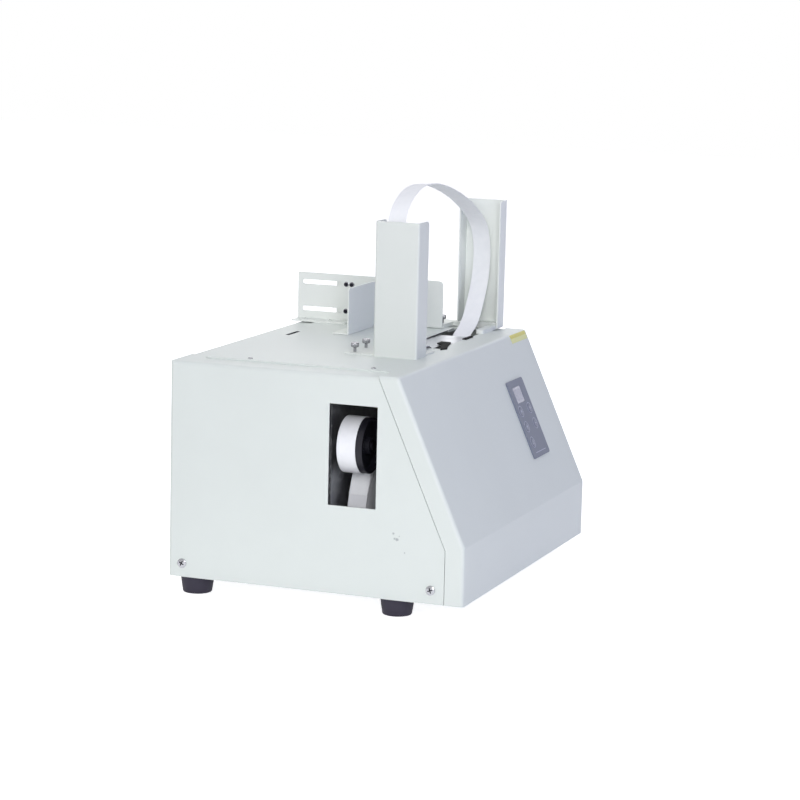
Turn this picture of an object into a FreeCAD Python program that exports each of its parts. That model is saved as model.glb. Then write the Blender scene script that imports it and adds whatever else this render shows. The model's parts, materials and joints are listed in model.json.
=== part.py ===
import FreeCAD, Part
import math
import os
import Sketcher
from FreeCAD import Placement, Rotation, Vector

# Banknote strapping machine. Millimetres, +Z up. The origin is at the bottom centre of the whole machine.
# The operator stands at -Y and looks along +Y. The side cover with the window is at -X.
# Places are counted from the left side (across), from the foot of the front cover (back)
# and from the underside of the housing (up).

SIZES = {
    # Housing
    "width": 400, "depth": 324, "rear_proud": 7, "feet_high": 20, "side_high": 225, "sheet": 1.5,
    "knee_high": 60, "table_front": 74, "strip_wide": 20, "seam_gap": 0.6, "bend_round": 4,
    "side_flange": 52, "rear_flange": 16, "table_edge": 33, "table_screw_in": 11,
    "table_end": 23, "table_corner": 6, "rear_lip": 30,
    "table_screw_front": 118, "table_screw_right_front": 206, "table_screw_back": 254, "fit_gap": 0.3,
    "window_back": 95.5, "window_wide": 52, "window_up": 91, "window_high": 104,
    "side_screw_up": 14.3, "side_screw_front": 34.7, "side_screw_rear": 15.5,
    "screw_hole_round": 2.2, "screw_head_round": 4.3, "screw_head_high": 2, "screw_long": 6,
    "small_head_round": 2.6, "small_head_high": 1.2,
    "tray_high": 24, "foot_round": 15.5, "foot_round_low": 13.5, "foot_across": 26,
    "foot_front_back": 78, "foot_rear_back": 23,
    # Table openings
    "head_open_left": 86, "head_open_inset": 16, "head_open_front": 106.5, "head_open_deep": 41,
    "slot_across": 100, "slot_long": 33, "slot_wide": 5, "slot_from_rear": 38,
    # Posts and what holds them
    "left_post_high": 141.5, "right_post_high": 143.5, "post_deep": 48.5, "post_centre_back": 124.4,
    "posts_span": 280, "left_flange": 28.5, "right_flange": 22, "post_foot_long": 58,
    "post_foot_back": 32.85,
    "hand_screw_first": 14, "hand_screw_pitch": 32, "hand_screw_in": 7, "hand_screw_round": 4.2,
    "hand_screw_knob": 6.5, "hand_screw_neck": 3.5, "hand_screw_stem": 1.6, "hand_screw_shank": 8,
    "running_gap": 0.08, "post_bend": 2.2, "post_slit": 1, "post_corner": 5,
    "base_high": 4.5, "base_arm_long": 66, "base_arm_front": 10.5, "base_back": 190,
    "base_rear_long": 46, "base_rear_back": 155.5, "base_side_wide": 14, "base_screw_inset": 34,
    "base_screw_back": 161.5, "base_screw_pitch": 20.5, "base_corner": 2,
    # Side guide and stop
    "guide_inset": 50, "guide_front": 156, "guide_top": 53.5, "guide_foot": 22, "guide_foot_long": 66,
    "guide_corner": 5, "guide_slot_high": 5, "guide_slot_long": 64, "guide_slot_end": 5.5, "guide_lift": 1,
    "guide_slot_low": 12.3, "guide_slot_top": 42.8, "guide_screw_end": 14, "guide_screw_pitch": 30,
    "stop_across": 131, "stop_from_rear": 95, "stop_high": 51.5, "stop_foot": 19, "stop_wing": 48,
    "stop_lift": 2, "stop_corner": 4,
    "stop_bolt_back": 35.5, "stop_bolt_pitch": 6.8, "bolt_round": 1.5, "bolt_head_round": 2.2,
    "bolt_head_high": 1.8, "washer_round": 3, "washer_thick": 0.6, "backing_long": 33, "backing_high": 44,
    "backing_up": 5.5,
    # Paper tape
    "tape_wide": 20, "tape_thick": 0.4, "tape_centre_back": 127,
    "arch_exit_long": 12, "arch_exit_drop": 3.5, "arch_exit_lean": 60,
    "arch_foot_inset": 42, "arch_foot_up": 8, "arch_sweep_inset": 26.5, "arch_sweep_up": 25,
    "arch_rise_inset": 8.5, "arch_rise_up": 56, "arch_bulge_inset": 4.5, "arch_bulge_up": 84,
    "arch_turn_inset": 14.5, "arch_turn_up": 112, "arch_shoulder_inset": 44, "arch_shoulder_up": 133.5,
    "arch_slope_across": 136, "arch_slope_up": 168, "arch_top_across": 85, "arch_top": 175.5,
    "arch_fall_across": 31, "arch_fall_up": 167, "arch_entry_across": 8, "arch_entry_up": 149.5,
    "arch_end_up": 118, "tape_end_across": 97, "tape_low": 3, "tape_turn": 8,
    "tape_dip_start": 6, "tape_dip_deep": 4,
    "block_high": 1.2, "block_wide": 9, "bar_across": 163, "bar_long": 23, "bar_wide": 3,
    # Tape supply behind the window
    "drum_across": 34, "drum_up": 149, "drum_round": 28.5, "drum_wide": 26, "drum_hub_round": 9,
    "roll_across": 96, "roll_up": 71, "roll_round": 59, "core_round": 22, "core_wall": 3, "spindle_round": 6,
    "hub_flange_round": 34, "hub_flange_thick": 2, "plate_back": 150, "plate_thick": 2, "plate_foot": 22,
    "plate_low_across": 14, "plate_high_across": 160, "plate_high": 196, "pin_round": 4,
    "collar_wide": 2.5, "collar_round": 7,
    # Feed unit
    "feed_inset": 92.5, "feed_up": 118, "feed_round": 14, "feed_wide": 24, "feed_shaft": 3,
    "pinch_round": 10, "nip_gap": 1, "feed_motor_round": 17, "feed_motor_long": 38, "shaft_depth": 8,
    "bracket_reach_left": 18, "bracket_reach_right": 46, "bracket_shoulder": 144, "chute_low": 136,
    "chute_bend": 16, "chute_gap": 1.6, "chute_wall": 1,
    # Sealing head
    "cam_up": 165, "cam_low_round": 10, "cam_lift": 7, "cam_wide": 8, "cam_clear": 1.3, "cam_shaft": 4,
    "press_gap": 4, "left_clamp_wide": 20, "heater_wide": 26, "right_clamp_wide": 24, "press_deep": 28,
    "press_edge": 5, "press_below": 11, "press_slide_gap": 0.15,
    "guide_block_low": 190, "guide_block_high": 204, "guide_block_rim": 6, "head_plate_thick": 3,
    "head_left": 85, "head_right": 176, "head_front": 96, "head_plate_deep": 96, "head_plate_low": 148,
    "anvil_thick": 2, "anvil_drop": 0.4, "anvil_left": 99, "anvil_step": 121, "anvil_shoulder": 140,
    "anvil_side_gap": 1, "anvil_front": 108, "anvil_step_back": 118, "anvil_notch_back": 123,
    "anvil_reach": 22, "anvil_reach_back": 146,
    "anvil_bar_back": 148, "anvil_bar_deep": 12, "anvil_travel": 30, "rail_wide": 4, "rail_high": 2.4,
    "gear_module": 1, "gear_teeth": 42, "pinion_teeth": 18, "gear_wide": 6, "tooth_play": 0.16,
    "cam_motor_round": 12, "cam_motor_long": 44, "motor_shaft": 2.5, "bush_round": 6.5, "bush_flange": 8.5,
    # Control panel
    "panel_across": 275, "panel_wide": 52, "panel_low": 47, "panel_high": 88, "panel_thick": 1.6,
    "display_across": 287, "display_wide": 24, "display_low": 109, "display_high": 18,
    "key_round": 4.5, "key_hole_gap": 0.4, "key_lift": 0.6, "key_travel": 0.5,
    "key_left_across": 287, "key_right_across": 315.5, "key_low": 64, "key_pitch": 17.8,
    "panel_corner": 3, "key_flange": 1.2, "key_stem": 2,
    "board_thick": 1.6, "board_behind": 9, "board_margin": 6, "stud_round": 2.5,
    # Rear fittings and electrics
    "inlet_inset": 70, "inlet_up": 42, "inlet_flange_wide": 48, "inlet_flange_high": 23,
    "inlet_wide": 27, "inlet_high": 19.5, "inlet_deep": 20, "fitting_flange": 1.6,
    "switch_inset": 118, "switch_wide": 15, "switch_high": 21, "rocker_wide": 11, "rocker_high": 17,
    "fuse_inset": 150, "fuse_round": 7, "fuse_long": 30,
    "vent_across": 60, "vent_long": 60, "vent_apart": 20, "vent_high": 4, "vent_pitch": 10, "vent_up": 70,
    "vent_rows": 9,
    "supply_inset": 24, "supply_wide": 76, "supply_from_rear": 27, "supply_deep": 92, "supply_high": 44,
}


# ---------------------------------------------------------------- sizes and sheet

class Size:
    """A size of the sheet, or a sum of such sizes, held both as a number and as an expression's text."""

    def __init__(self, text, value):
        self.text = text
        self.value = float(value)

    def __add__(self, other):
        other = size_of(other)
        return Size(f"({self.text} + {other.text})", self.value + other.value)

    def __sub__(self, other):
        other = size_of(other)
        return Size(f"({self.text} - {other.text})", self.value - other.value)

    def __mul__(self, other):
        other = size_of(other)
        return Size(f"({self.text} * {other.text})", self.value * other.value)

    def __truediv__(self, other):
        other = size_of(other)
        return Size(f"({self.text} / {other.text})", self.value / other.value)

    def __neg__(self):
        return size_of(0) - self

    def __radd__(self, other):
        return size_of(other) + self

    def __rsub__(self, other):
        return size_of(other) - self

    def __rmul__(self, other):
        return size_of(other) * self


def size_of(thing):
    return thing if isinstance(thing, Size) else Size(f"{float(thing):.6f}", thing)


def root_of(thing):
    return Size(f"sqrt({thing.text})", math.sqrt(thing.value))


def slope_angle(rise, run):
    return Size(f"atan({rise.text} / {run.text})", math.degrees(math.atan(rise.value / run.value)))


class Dims:
    """Every size of the sheet under its own name."""


doc = FreeCAD.newDocument("strapping_machine")
sheet = doc.addObject("Spreadsheet::Sheet", "dims")
dims = Dims()
for row, (alias, number) in enumerate(SIZES.items(), start=1):
    sheet.set(f"A{row}", alias)
    sheet.set(f"B{row}", str(number))
    sheet.setAlias(f"B{row}", alias)
    setattr(dims, alias, Size(f"dims.{alias}", number))
doc.recompute()


def across(distance):
    """X of a place counted from the left side."""
    return size_of(distance) - dims.width / 2


def on_table(distance):
    """X of a place counted from the left post."""
    return across(dims.width - dims.posts_span) + distance


def back(distance):
    """Y of a place counted from the foot of the front cover."""
    return size_of(distance) - (dims.depth + dims.rear_proud) / 2


def up(distance):
    """Z of a place counted from the underside of the housing."""
    return size_of(distance) + dims.feet_high


# ---------------------------------------------------------------- helpers for solids

NODES = {}
AXES = {"X": (Vector(0, 1, 0), 90), "Y": (Vector(1, 0, 0), -90), "Z": (Vector(0, 0, 1), 0)}


def node(label, feature):
    """Register a finished sub-part under its own name."""
    feature.Label = label
    NODES[label] = feature
    return feature


def place(feature, x, y, z, axis=Vector(0, 0, 1), angle=0):
    feature.Placement = Placement(Vector(), Rotation(axis, size_of(angle).value))
    if isinstance(angle, Size):
        feature.setExpression("Placement.Rotation.Angle", angle.text)
    for letter, distance in zip("xyz", (x, y, z)):
        feature.setExpression(f"Placement.Base.{letter}", size_of(distance).text)
    return feature


def box(name, x, y, z):
    """A box between a low and a high place along each axis."""
    feature = doc.addObject("Part::Box", name)
    for side, (low, high) in zip(("Length", "Width", "Height"), (x, y, z)):
        feature.setExpression(side, (high - low).text)
    return place(feature, x[0], y[0], z[0])


def cylinder(name, radius, length, x, y, z, along="Z"):
    feature = doc.addObject("Part::Cylinder", name)
    feature.setExpression("Radius", size_of(radius).text)
    feature.setExpression("Height", size_of(length).text)
    axis, angle = AXES[along]
    return place(feature, x, y, z, axis, angle)


def fused(name, *features):
    feature = doc.addObject("Part::MultiFuse", name)
    feature.Shapes = list(features)
    return feature


def grouped(name, *features):
    feature = doc.addObject("Part::Compound", name)
    feature.Links = list(features)
    return feature


def cut(name, base, *tools):
    feature = doc.addObject("Part::Cut", name)
    feature.Base = base
    feature.Tool = tools[0] if len(tools) == 1 else grouped(name + "_tools", *tools)
    return feature


def rounded(name, base, radius, chosen):
    """A Part fillet on the edges that the test chooses."""
    doc.recompute()
    feature = doc.addObject("Part::Fillet", name)
    feature.Base = base
    picked = [i for i, edge in enumerate(base.Shape.Edges, start=1) if chosen(edge)]
    feature.Edges = [(i, radius.value, radius.value) for i in picked]
    return feature


def new_body(name):
    return doc.addObject("PartDesign::Body", name)


def sketch_on(body, plane, shift):
    """A sketch on one of the body's own origin planes, moved along the plane's normal."""
    sketch = body.newObject("Sketcher::SketchObject", body.Name + "_sketch")
    planes = [feature for feature in body.Origin.OriginFeatures if feature.Role == plane + "_Plane"]
    sketch.AttachmentSupport = [(planes[0], "")]
    sketch.MapMode = "FlatFace"
    sketch.setExpression("AttachmentOffset.Base.z", size_of(shift).text)
    return sketch


def bind(sketch, kind, geometry, point, value):
    value = size_of(value)
    number = sketch.addConstraint(Sketcher.Constraint(kind, -1, 1, geometry, point, value.value))
    sketch.setExpression(f"Constraints[{number}]", value.text)


def draw_outline(sketch, corners):
    """A closed outline of straight lines through corners given as pairs of sizes."""
    first = sketch.GeometryCount
    count = len(corners)
    points = [Vector(size_of(a).value, size_of(b).value, 0) for a, b in corners]
    for i in range(count):
        sketch.addGeometry(Part.LineSegment(points[i], points[(i + 1) % count]), False)
    for i in range(count):
        sketch.addConstraint(Sketcher.Constraint("Coincident", first + i, 2, first + (i + 1) % count, 1))
    for i, (a, b) in enumerate(corners):
        bind(sketch, "DistanceX", first + i, 1, a)
        bind(sketch, "DistanceY", first + i, 1, b)


def draw_circle(sketch, a, b, radius):
    middle = Vector(size_of(a).value, size_of(b).value, 0)
    geometry = sketch.addGeometry(Part.Circle(middle, Vector(0, 0, 1), size_of(radius).value), False)
    bind(sketch, "DistanceX", geometry, 3, a)
    bind(sketch, "DistanceY", geometry, 3, b)
    number = sketch.addConstraint(Sketcher.Constraint("Radius", geometry, size_of(radius).value))
    sketch.setExpression(f"Constraints[{number}]", size_of(radius).text)


def pad(body, plane, low, high, corners=(), circles=()):
    """A pad of an outline or of circles between two places along the plane's axis."""
    along_minus = plane == "XZ"
    sketch = sketch_on(body, plane, -size_of(low) if along_minus else low)
    if corners:
        draw_outline(sketch, corners)
    for circle in circles:
        draw_circle(sketch, *circle)
    feature = body.newObject("PartDesign::Pad", body.Name + "_pad")
    feature.Profile = sketch
    feature.Reversed = along_minus
    feature.setExpression("Length", (high - low).text)
    return feature


def pocket(body, plane, low, high, corners=(), circles=()):
    """A pocket between two places along the plane's axis. It has to take material away."""
    doc.recompute()
    before = body.Shape.Volume
    along_minus = plane == "XZ"
    sketch = sketch_on(body, plane, -size_of(low) if along_minus else high)
    if corners:
        draw_outline(sketch, corners)
    for circle in circles:
        draw_circle(sketch, *circle)
    feature = body.newObject("PartDesign::Pocket", body.Name + "_pocket")
    feature.Profile = sketch
    feature.setExpression("Length", (high - low).text)
    doc.recompute()
    if not body.Shape.Volume < before - 0.01:
        raise RuntimeError(f"{feature.Name} takes nothing away")
    return feature


def round_off(body, radius, chosen):
    """A fillet of the body on the edges that the test chooses."""
    doc.recompute()
    base = body.Tip
    names = [f"Edge{i}" for i, edge in enumerate(base.Shape.Edges, start=1) if chosen(edge)]
    feature = body.newObject("PartDesign::Fillet", body.Name + "_round")
    feature.Base = (base, names)
    feature.setExpression("Radius", size_of(radius).text)
    return feature


def fold_from(body, wall, opened):
    """Turn the body into folded sheet: the faces that the test chooses are left open."""
    doc.recompute()
    base = body.Tip
    names = [f"Face{i}" for i, face in enumerate(base.Shape.Faces, start=1) if opened(face)]
    feature = body.newObject("PartDesign::Thickness", body.Name + "_sheet")
    feature.Base = (base, names)
    feature.Reversed = True
    feature.setExpression("Value", wall.text)
    return feature


def turned(name, profile):
    """A body turned about its own Z axis from an outline of radius and height."""
    body = new_body(name)
    sketch = sketch_on(body, "XZ", 0)
    draw_outline(sketch, profile)
    feature = body.newObject("PartDesign::Revolution", name + "_turn")
    feature.Profile = sketch
    feature.ReferenceAxis = (sketch, ["V_Axis"])
    feature.Angle = 360
    return body


def rectangle(low_a, high_a, low_b, high_b):
    return [(low_a, low_b), (high_a, low_b), (high_a, high_b), (low_a, high_b)]


def middle(edge):
    return edge.CenterOfMass


def near(a, b, slack=0.05):
    return abs(a - size_of(b).value) < slack


# ---------------------------------------------------------------- shared places

table_top = dims.side_high + dims.sheet
slant_rise = table_top - dims.knee_high
slant_run = dims.table_front
slant_long = root_of(slant_run * slant_run + slant_rise * slant_rise)
slant_angle = slope_angle(slant_rise, slant_run)
left_side = across(0)
right_side = across(dims.width)
rear_face = back(dims.depth)
tape_front = back(dims.tape_centre_back - dims.tape_wide / 2)
tape_rear = back(dims.tape_centre_back + dims.tape_wide / 2)
tape_middle = back(dims.tape_centre_back)
machine_rear = back(dims.depth + dims.rear_proud)
guide_face = right_side - dims.guide_inset
stop_face = rear_face - dims.stop_from_rear


def slant_back(inset, height):
    """How far back the slanted front lies at a height, moved in by an inset square to the slant."""
    return (height - dims.knee_high) * slant_run / slant_rise + inset * slant_long / slant_rise


def seam_height(inset):
    """Height of the seam's own knee at an inset."""
    return dims.knee_high + (inset - inset * slant_long / slant_rise) * slant_rise / slant_run


# ---------------------------------------------------------------- housing

def side_cover(label, side):
    """Folded side cover: wall with slanted front edge, table flange and rear flange. side is -1 or +1."""
    inset = dims.strip_wide + dims.seam_gap
    outer = left_side if side < 0 else right_side - dims.side_flange
    inner = left_side + dims.side_flange if side < 0 else right_side
    body = new_body(label)
    pad(body, "YZ", outer, inner, [
        (back(inset), up(0)),
        (rear_face, up(0)),
        (rear_face, up(dims.side_high)),
        (back(slant_back(inset, dims.side_high)), up(dims.side_high)),
        (back(inset), up(seam_height(inset))),
    ])
    wall_x = (left_side if side < 0 else right_side).value
    top_z = up(dims.side_high).value
    rear_y = rear_face.value

    def outer_bend(edge):
        at = middle(edge)
        return near(at.x, wall_x) and (near(at.z, top_z) or near(at.y, rear_y))

    round_off(body, dims.bend_round, outer_bend)

    def left_open(face):
        at = face.CenterOfMass
        inner_face = near(at.x, wall_x - side * dims.side_flange.value)
        under = near(at.z, up(0))
        ahead = face.normalAt(0, 0).y < -0.5 and at.y < back(dims.depth / 2).value
        return inner_face or under or ahead

    fold_from(body, dims.sheet, left_open)
    flange_end = rear_face - dims.bend_round * 2
    if side < 0:
        spare = (left_side + dims.rear_flange, left_side + dims.side_flange + 1)
    else:
        spare = (right_side - dims.side_flange - 1, right_side - dims.rear_flange)
    pocket(body, "YZ", spare[0], spare[1],
           rectangle(flange_end, rear_face + 1, up(-1), up(dims.side_high - dims.sheet * 2)))
    screw_rows = (back(dims.side_screw_front), back(dims.depth - dims.side_screw_rear))
    if side < 0:
        wall = (left_side - 1, left_side + dims.bend_round)
    else:
        wall = (right_side - dims.bend_round, right_side + 1)
    pocket(body, "YZ", wall[0], wall[1],
           circles=[(row, up(dims.side_screw_up), dims.screw_hole_round) for row in screw_rows])
    if side < 0:
        window_end = dims.window_back + dims.window_wide
        pocket(body, "YZ", wall[0], wall[1],
               rectangle(back(dims.window_back), back(window_end),
                         up(dims.window_up), up(dims.window_up + dims.window_high)))
    screw_x = table_screw_places(side)
    flange = (up(dims.side_high - dims.bend_round), up(dims.side_high + 1))
    holes = [(screw_x, row, dims.screw_hole_round) for row in table_screw_rows(side)]
    if side > 0:
        holes += [(x, y, dims.hand_screw_stem + dims.running_gap) for x, y in right_screw_places()]
        pocket(body, "XY", flange[0], flange[1], head_opening(dims.side_flange + 1))
    pocket(body, "XY", flange[0], flange[1], circles=holes)
    return node(label, body)


def head_opening(from_right=None):
    """Outline of the long opening in the table, or of the part of it that reaches the right flange."""
    left = on_table(dims.head_open_left) if from_right is None else right_side - from_right
    return rectangle(left, right_side - dims.head_open_inset, back(dims.head_open_front),
                     back(dims.head_open_front + dims.head_open_deep))


def table_screw_places(side):
    inward = dims.table_edge + dims.table_screw_in
    return left_side + inward if side < 0 else right_side - inward


def table_screw_rows(side):
    front = dims.table_screw_front if side < 0 else dims.table_screw_right_front
    return back(front), back(dims.table_screw_back)


def front_table_cover():
    """One folded sheet: upright front, slanted front, side strips and the table with its openings."""
    label = "front_table_cover"
    inset = dims.strip_wide
    body = new_body(label)
    pad(body, "YZ", left_side, right_side, [
        (back(0), up(0)),
        (back(inset), up(0)),
        (back(inset), up(seam_height(inset))),
        (back(slant_back(inset, table_top)), up(table_top)),
        (back(dims.table_front), up(table_top)),
        (back(0), up(dims.knee_high)),
    ])
    half = right_side.value

    def outer_bend(edge):
        at = middle(edge)
        box_x = edge.BoundBox.XLength
        ahead_of_seam = at.y < back(slant_back(size_of(1), size_of(at.z - up(0).value))).value + 0.5
        if box_x > 1:
            front_edge = near(at.z, up(dims.knee_high)) or near(at.y, back(dims.table_front), 0.2)
            return front_edge and near(box_x, dims.width)
        on_side = near(abs(at.x), half)
        top_side = near(at.z, up(table_top)) and on_side
        upright = near(at.y, back(0)) and on_side
        slanted = on_side and edge.BoundBox.ZLength > dims.knee_high.value / 2 and ahead_of_seam
        return top_side or upright or slanted

    round_off(body, dims.bend_round, outer_bend)
    wall = dims.sheet
    under_top = table_top - wall
    pocket(body, "YZ", left_side + wall, right_side - wall, [
        (back(wall), up(wall)),
        (back(inset + 1), up(wall)),
        (back(inset + 1), up(seam_height(inset + 1))),
        (back(slant_back(inset + 1, under_top)), up(under_top)),
        (back(slant_back(wall, under_top)), up(under_top)),
        (back(wall), up(seam_height(wall))),
    ])
    table_start = slant_back(inset, table_top) - dims.bend_round
    table_x = (left_side + dims.table_edge, right_side - dims.table_edge)
    table_rear = back(dims.depth - dims.table_end)
    pad(body, "XY", up(dims.side_high), up(table_top),
        rectangle(table_x[0], table_x[1], back(table_start), table_rear))

    def rear_corner(edge):
        at = middle(edge)
        return near(at.y, table_rear) and near(abs(at.x), table_x[1])

    round_off(body, dims.table_corner, rear_corner)
    through = (up(dims.side_high - dims.bend_round), up(table_top + 1))
    pocket(body, "XY", through[0], through[1], head_opening())
    slot_front = rear_face - dims.slot_from_rear
    pocket(body, "XY", through[0], through[1],
           rectangle(on_table(dims.slot_across), on_table(dims.slot_across + dims.slot_long),
                     slot_front, slot_front + dims.slot_wide))
    holes = [(table_screw_places(side), row, dims.screw_hole_round)
             for side in (-1, 1) for row in table_screw_rows(side)]
    holes += [(x, y, dims.screw_hole_round) for x, y in guide_screw_places()]
    holes += [(x, y, dims.hand_screw_stem + dims.running_gap)
              for x, y in left_screw_places() + right_screw_places()]
    pocket(body, "XY", through[0], through[1], circles=holes)
    body.Label = "front_cover_sheet"
    return body


def base_tray():
    low_x, high_x = left_side + dims.sheet + dims.fit_gap, right_side - dims.sheet - dims.fit_gap
    low_y = back(dims.strip_wide + dims.seam_gap)
    high_y = rear_face - dims.sheet * 2 - dims.fit_gap
    rim = up(dims.tray_high)
    outer = box("tray_outer", (low_x, high_x), (low_y, high_y), (up(0), rim))
    wall = dims.sheet
    inner = box("tray_inner", (low_x + wall, high_x - wall), (low_y + wall, high_y - wall),
                (up(wall), rim + 1))
    tools = [inner]
    for number, (x, y) in enumerate(foot_places(), start=1):
        tools.append(cylinder(f"tray_foot_hole_{number}", dims.screw_hole_round, wall * 3,
                              x, y, up(-wall)))
    for number, row in enumerate((dims.side_screw_front, dims.depth - dims.side_screw_rear), start=1):
        tools.append(cylinder(f"tray_side_hole_{number}", dims.screw_hole_round, dims.width + 2,
                              left_side - 1, back(row), up(dims.side_screw_up), "X"))
    return node("base_tray", cut("base_tray", outer, *tools))


def foot_places():
    """Front left, front right, rear left and rear right."""
    rows = (back(dims.foot_front_back), back(dims.depth - dims.foot_rear_back))
    return [(x, y) for y in rows for x in (left_side + dims.foot_across, right_side - dims.foot_across)]


def rubber_feet():
    feet = []
    socket = dims.screw_head_round + 1.2
    socket_top = dims.feet_high / 2
    for number, (x, y) in enumerate(foot_places(), start=1):
        body = turned(f"rubber_foot_{number}", [
            (socket, size_of(0)),
            (dims.foot_round_low - 1, size_of(0)),
            (dims.foot_round_low, size_of(1)),
            (dims.foot_round, dims.feet_high - 1),
            (dims.foot_round, dims.feet_high),
            (dims.screw_hole_round, dims.feet_high),
            (dims.screw_hole_round, socket_top),
            (socket, socket_top),
        ])
        feet.append(place(body, x, y, 0))
    return node("rubber_feet", grouped("rubber_feet", *feet))


def pan_screw(name, head_round, head_high, x, y, z, axis, angle, long):
    """Head and shank turned together. The head's underside is at the given place."""
    body = turned(name, [
        (size_of(0), -long),
        (dims.screw_hole_round - 0.2, -long),
        (dims.screw_hole_round - 0.2, size_of(0)),
        (head_round, size_of(0)),
        (head_round, head_high * 0.5),
        (head_round * 0.7, head_high),
        (size_of(0), head_high),
    ])
    return place(body, x, y, z, axis, angle)


def cover_screws():
    sides = []
    rows = (back(dims.side_screw_front), back(dims.depth - dims.side_screw_rear))
    for row_number, row in enumerate(rows, start=1):
        sides.append(pan_screw(f"side_screw_left_{row_number}", dims.screw_head_round, dims.screw_head_high,
                               left_side, row, up(dims.side_screw_up), Vector(0, 1, 0), -90, dims.screw_long))
        sides.append(pan_screw(f"side_screw_right_{row_number}", dims.screw_head_round, dims.screw_head_high,
                               right_side, row, up(dims.side_screw_up), Vector(0, 1, 0), 90, dims.screw_long))
    tops = [pan_screw(f"table_screw_{side + 2}_{number}", dims.small_head_round, dims.small_head_high,
                      table_screw_places(side), row, up(table_top), Vector(0, 0, 1), 0, dims.screw_long)
            for side in (-1, 1) for number, row in enumerate(table_screw_rows(side), start=1)]
    node("table_screws", grouped("table_screws", *tops))
    feet = [pan_screw(f"foot_screw_{number}", dims.screw_head_round, dims.screw_head_high,
                      x, y, dims.feet_high / 2, Vector(1, 0, 0), 180, dims.feet_high / 2 + dims.screw_long)
            for number, (x, y) in enumerate(foot_places(), start=1)]
    node("pan_head_screws", grouped("pan_head_screws", *sides, *feet))


def rear_panel():
    """Rear panel inside the flanges of the side covers, with a lip bent forward under the table."""
    label = "rear_panel"
    out = rear_face - dims.sheet
    body = new_body(label)
    top = up(dims.side_high)
    wide_x = right_side - dims.bend_round - dims.fit_gap
    narrow_x = right_side - dims.side_flange - dims.fit_gap
    under_flange = top - dims.sheet - dims.fit_gap
    pad(body, "XZ", out - dims.sheet, out, [
        (-wide_x, up(dims.fit_gap)), (wide_x, up(dims.fit_gap)), (wide_x, under_flange),
        (narrow_x, under_flange), (narrow_x, top), (-narrow_x, top),
        (-narrow_x, under_flange), (-wide_x, under_flange),
    ])
    pad(body, "XY", top - dims.sheet, top, rectangle(-narrow_x, narrow_x, out - dims.rear_lip, out))

    def top_bend(edge):
        at = middle(edge)
        return edge.BoundBox.XLength > 100 and near(at.y, out) and near(at.z, top)

    round_off(body, dims.post_bend, top_bend)
    lip_front = out - dims.rear_lip
    lip_holes = [(x, y, dims.screw_hole_round) for x, y in guide_screw_places() if y.value > lip_front.value]
    if lip_holes:
        pocket(body, "XY", top - dims.sheet - 1, top + 1, circles=lip_holes)
    reach = (out - dims.sheet - 1, out + 1)
    for start in (dims.vent_across, dims.vent_across + dims.vent_long + dims.vent_apart):
        for line in range(SIZES["vent_rows"]):
            low_z = up(dims.vent_up + dims.vent_pitch * line)
            pocket(body, "XZ", reach[0], reach[1],
                   rectangle(across(start), across(start + dims.vent_long), low_z, low_z + dims.vent_high))
    for inset, wide, high in ((dims.inlet_inset, dims.inlet_wide, dims.inlet_high),
                              (dims.switch_inset, dims.switch_wide - 2, dims.switch_high - 2)):
        x = right_side - inset
        pocket(body, "XZ", reach[0], reach[1],
               rectangle(x - wide / 2, x + wide / 2,
                         up(dims.inlet_up - high / 2), up(dims.inlet_up + high / 2)))
    pocket(body, "XZ", reach[0], reach[1],
           circles=[(right_side - dims.fuse_inset, up(dims.inlet_up), dims.fuse_round - 1)])
    return node(label, body)


# ---------------------------------------------------------------- posts

def channel_outline(web_x, open_x, front_y, rear_y, wall):
    """Outline of a U channel seen from above. The web is at web_x and the opening at open_x."""
    inner_x = web_x + wall if web_x.value < open_x.value else web_x - wall
    return [
        (web_x, front_y), (open_x, front_y), (open_x, front_y + wall), (inner_x, front_y + wall),
        (inner_x, rear_y - wall), (open_x, rear_y - wall), (open_x, rear_y), (web_x, rear_y),
    ]


def bend_edges(web_x, front_y, rear_y):
    def chosen(edge):
        at = middle(edge)
        upright = edge.BoundBox.ZLength > dims.left_post_high.value / 2
        return upright and near(at.x, web_x) and (near(at.y, front_y) or near(at.y, rear_y))
    return chosen


def flange_top_edges(open_x, top_z):
    def chosen(edge):
        at = middle(edge)
        across_sheet = edge.BoundBox.YLength < 3 and edge.BoundBox.XLength < 0.1
        return across_sheet and near(at.x, open_x) and near(at.z, top_z)
    return chosen


post_front = back(dims.post_centre_back - dims.post_deep / 2)
post_rear = back(dims.post_centre_back + dims.post_deep / 2)
left_foot_rear = post_rear + dims.post_foot_back


def left_screw_places():
    first = on_table(dims.hand_screw_first)
    row = left_foot_rear - dims.hand_screw_in
    return [(first, row), (first + dims.hand_screw_pitch, row)]


def right_screw_places():
    x, first = right_side - dims.base_screw_inset, back(dims.base_screw_back)
    return [(x, first), (x, first + dims.base_screw_pitch)]


def left_post():
    """Channel open to the right, welded to a foot plate that reaches back for its hand screws."""
    body = new_body("left_post")
    web, opening = on_table(0), on_table(dims.left_flange)
    foot_top = up(table_top + dims.sheet)
    post_top = up(table_top + dims.left_post_high)
    pad(body, "XY", up(table_top), post_top,
        channel_outline(web, opening, post_front, post_rear, dims.sheet))
    round_off(body, dims.post_bend, bend_edges(web, post_front, post_rear))
    round_off(body, dims.post_corner, flange_top_edges(opening, post_top))
    foot_end = on_table(dims.post_foot_long)
    pad(body, "XY", up(table_top), foot_top,
        rectangle(web + dims.post_bend, foot_end, post_front + dims.sheet, left_foot_rear))
    hole = dims.hand_screw_stem + dims.running_gap
    pocket(body, "XY", up(table_top) - 1, foot_top + 1,
           circles=[(x, y, hole) for x, y in left_screw_places()])
    return node("left_post", body)


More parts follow.
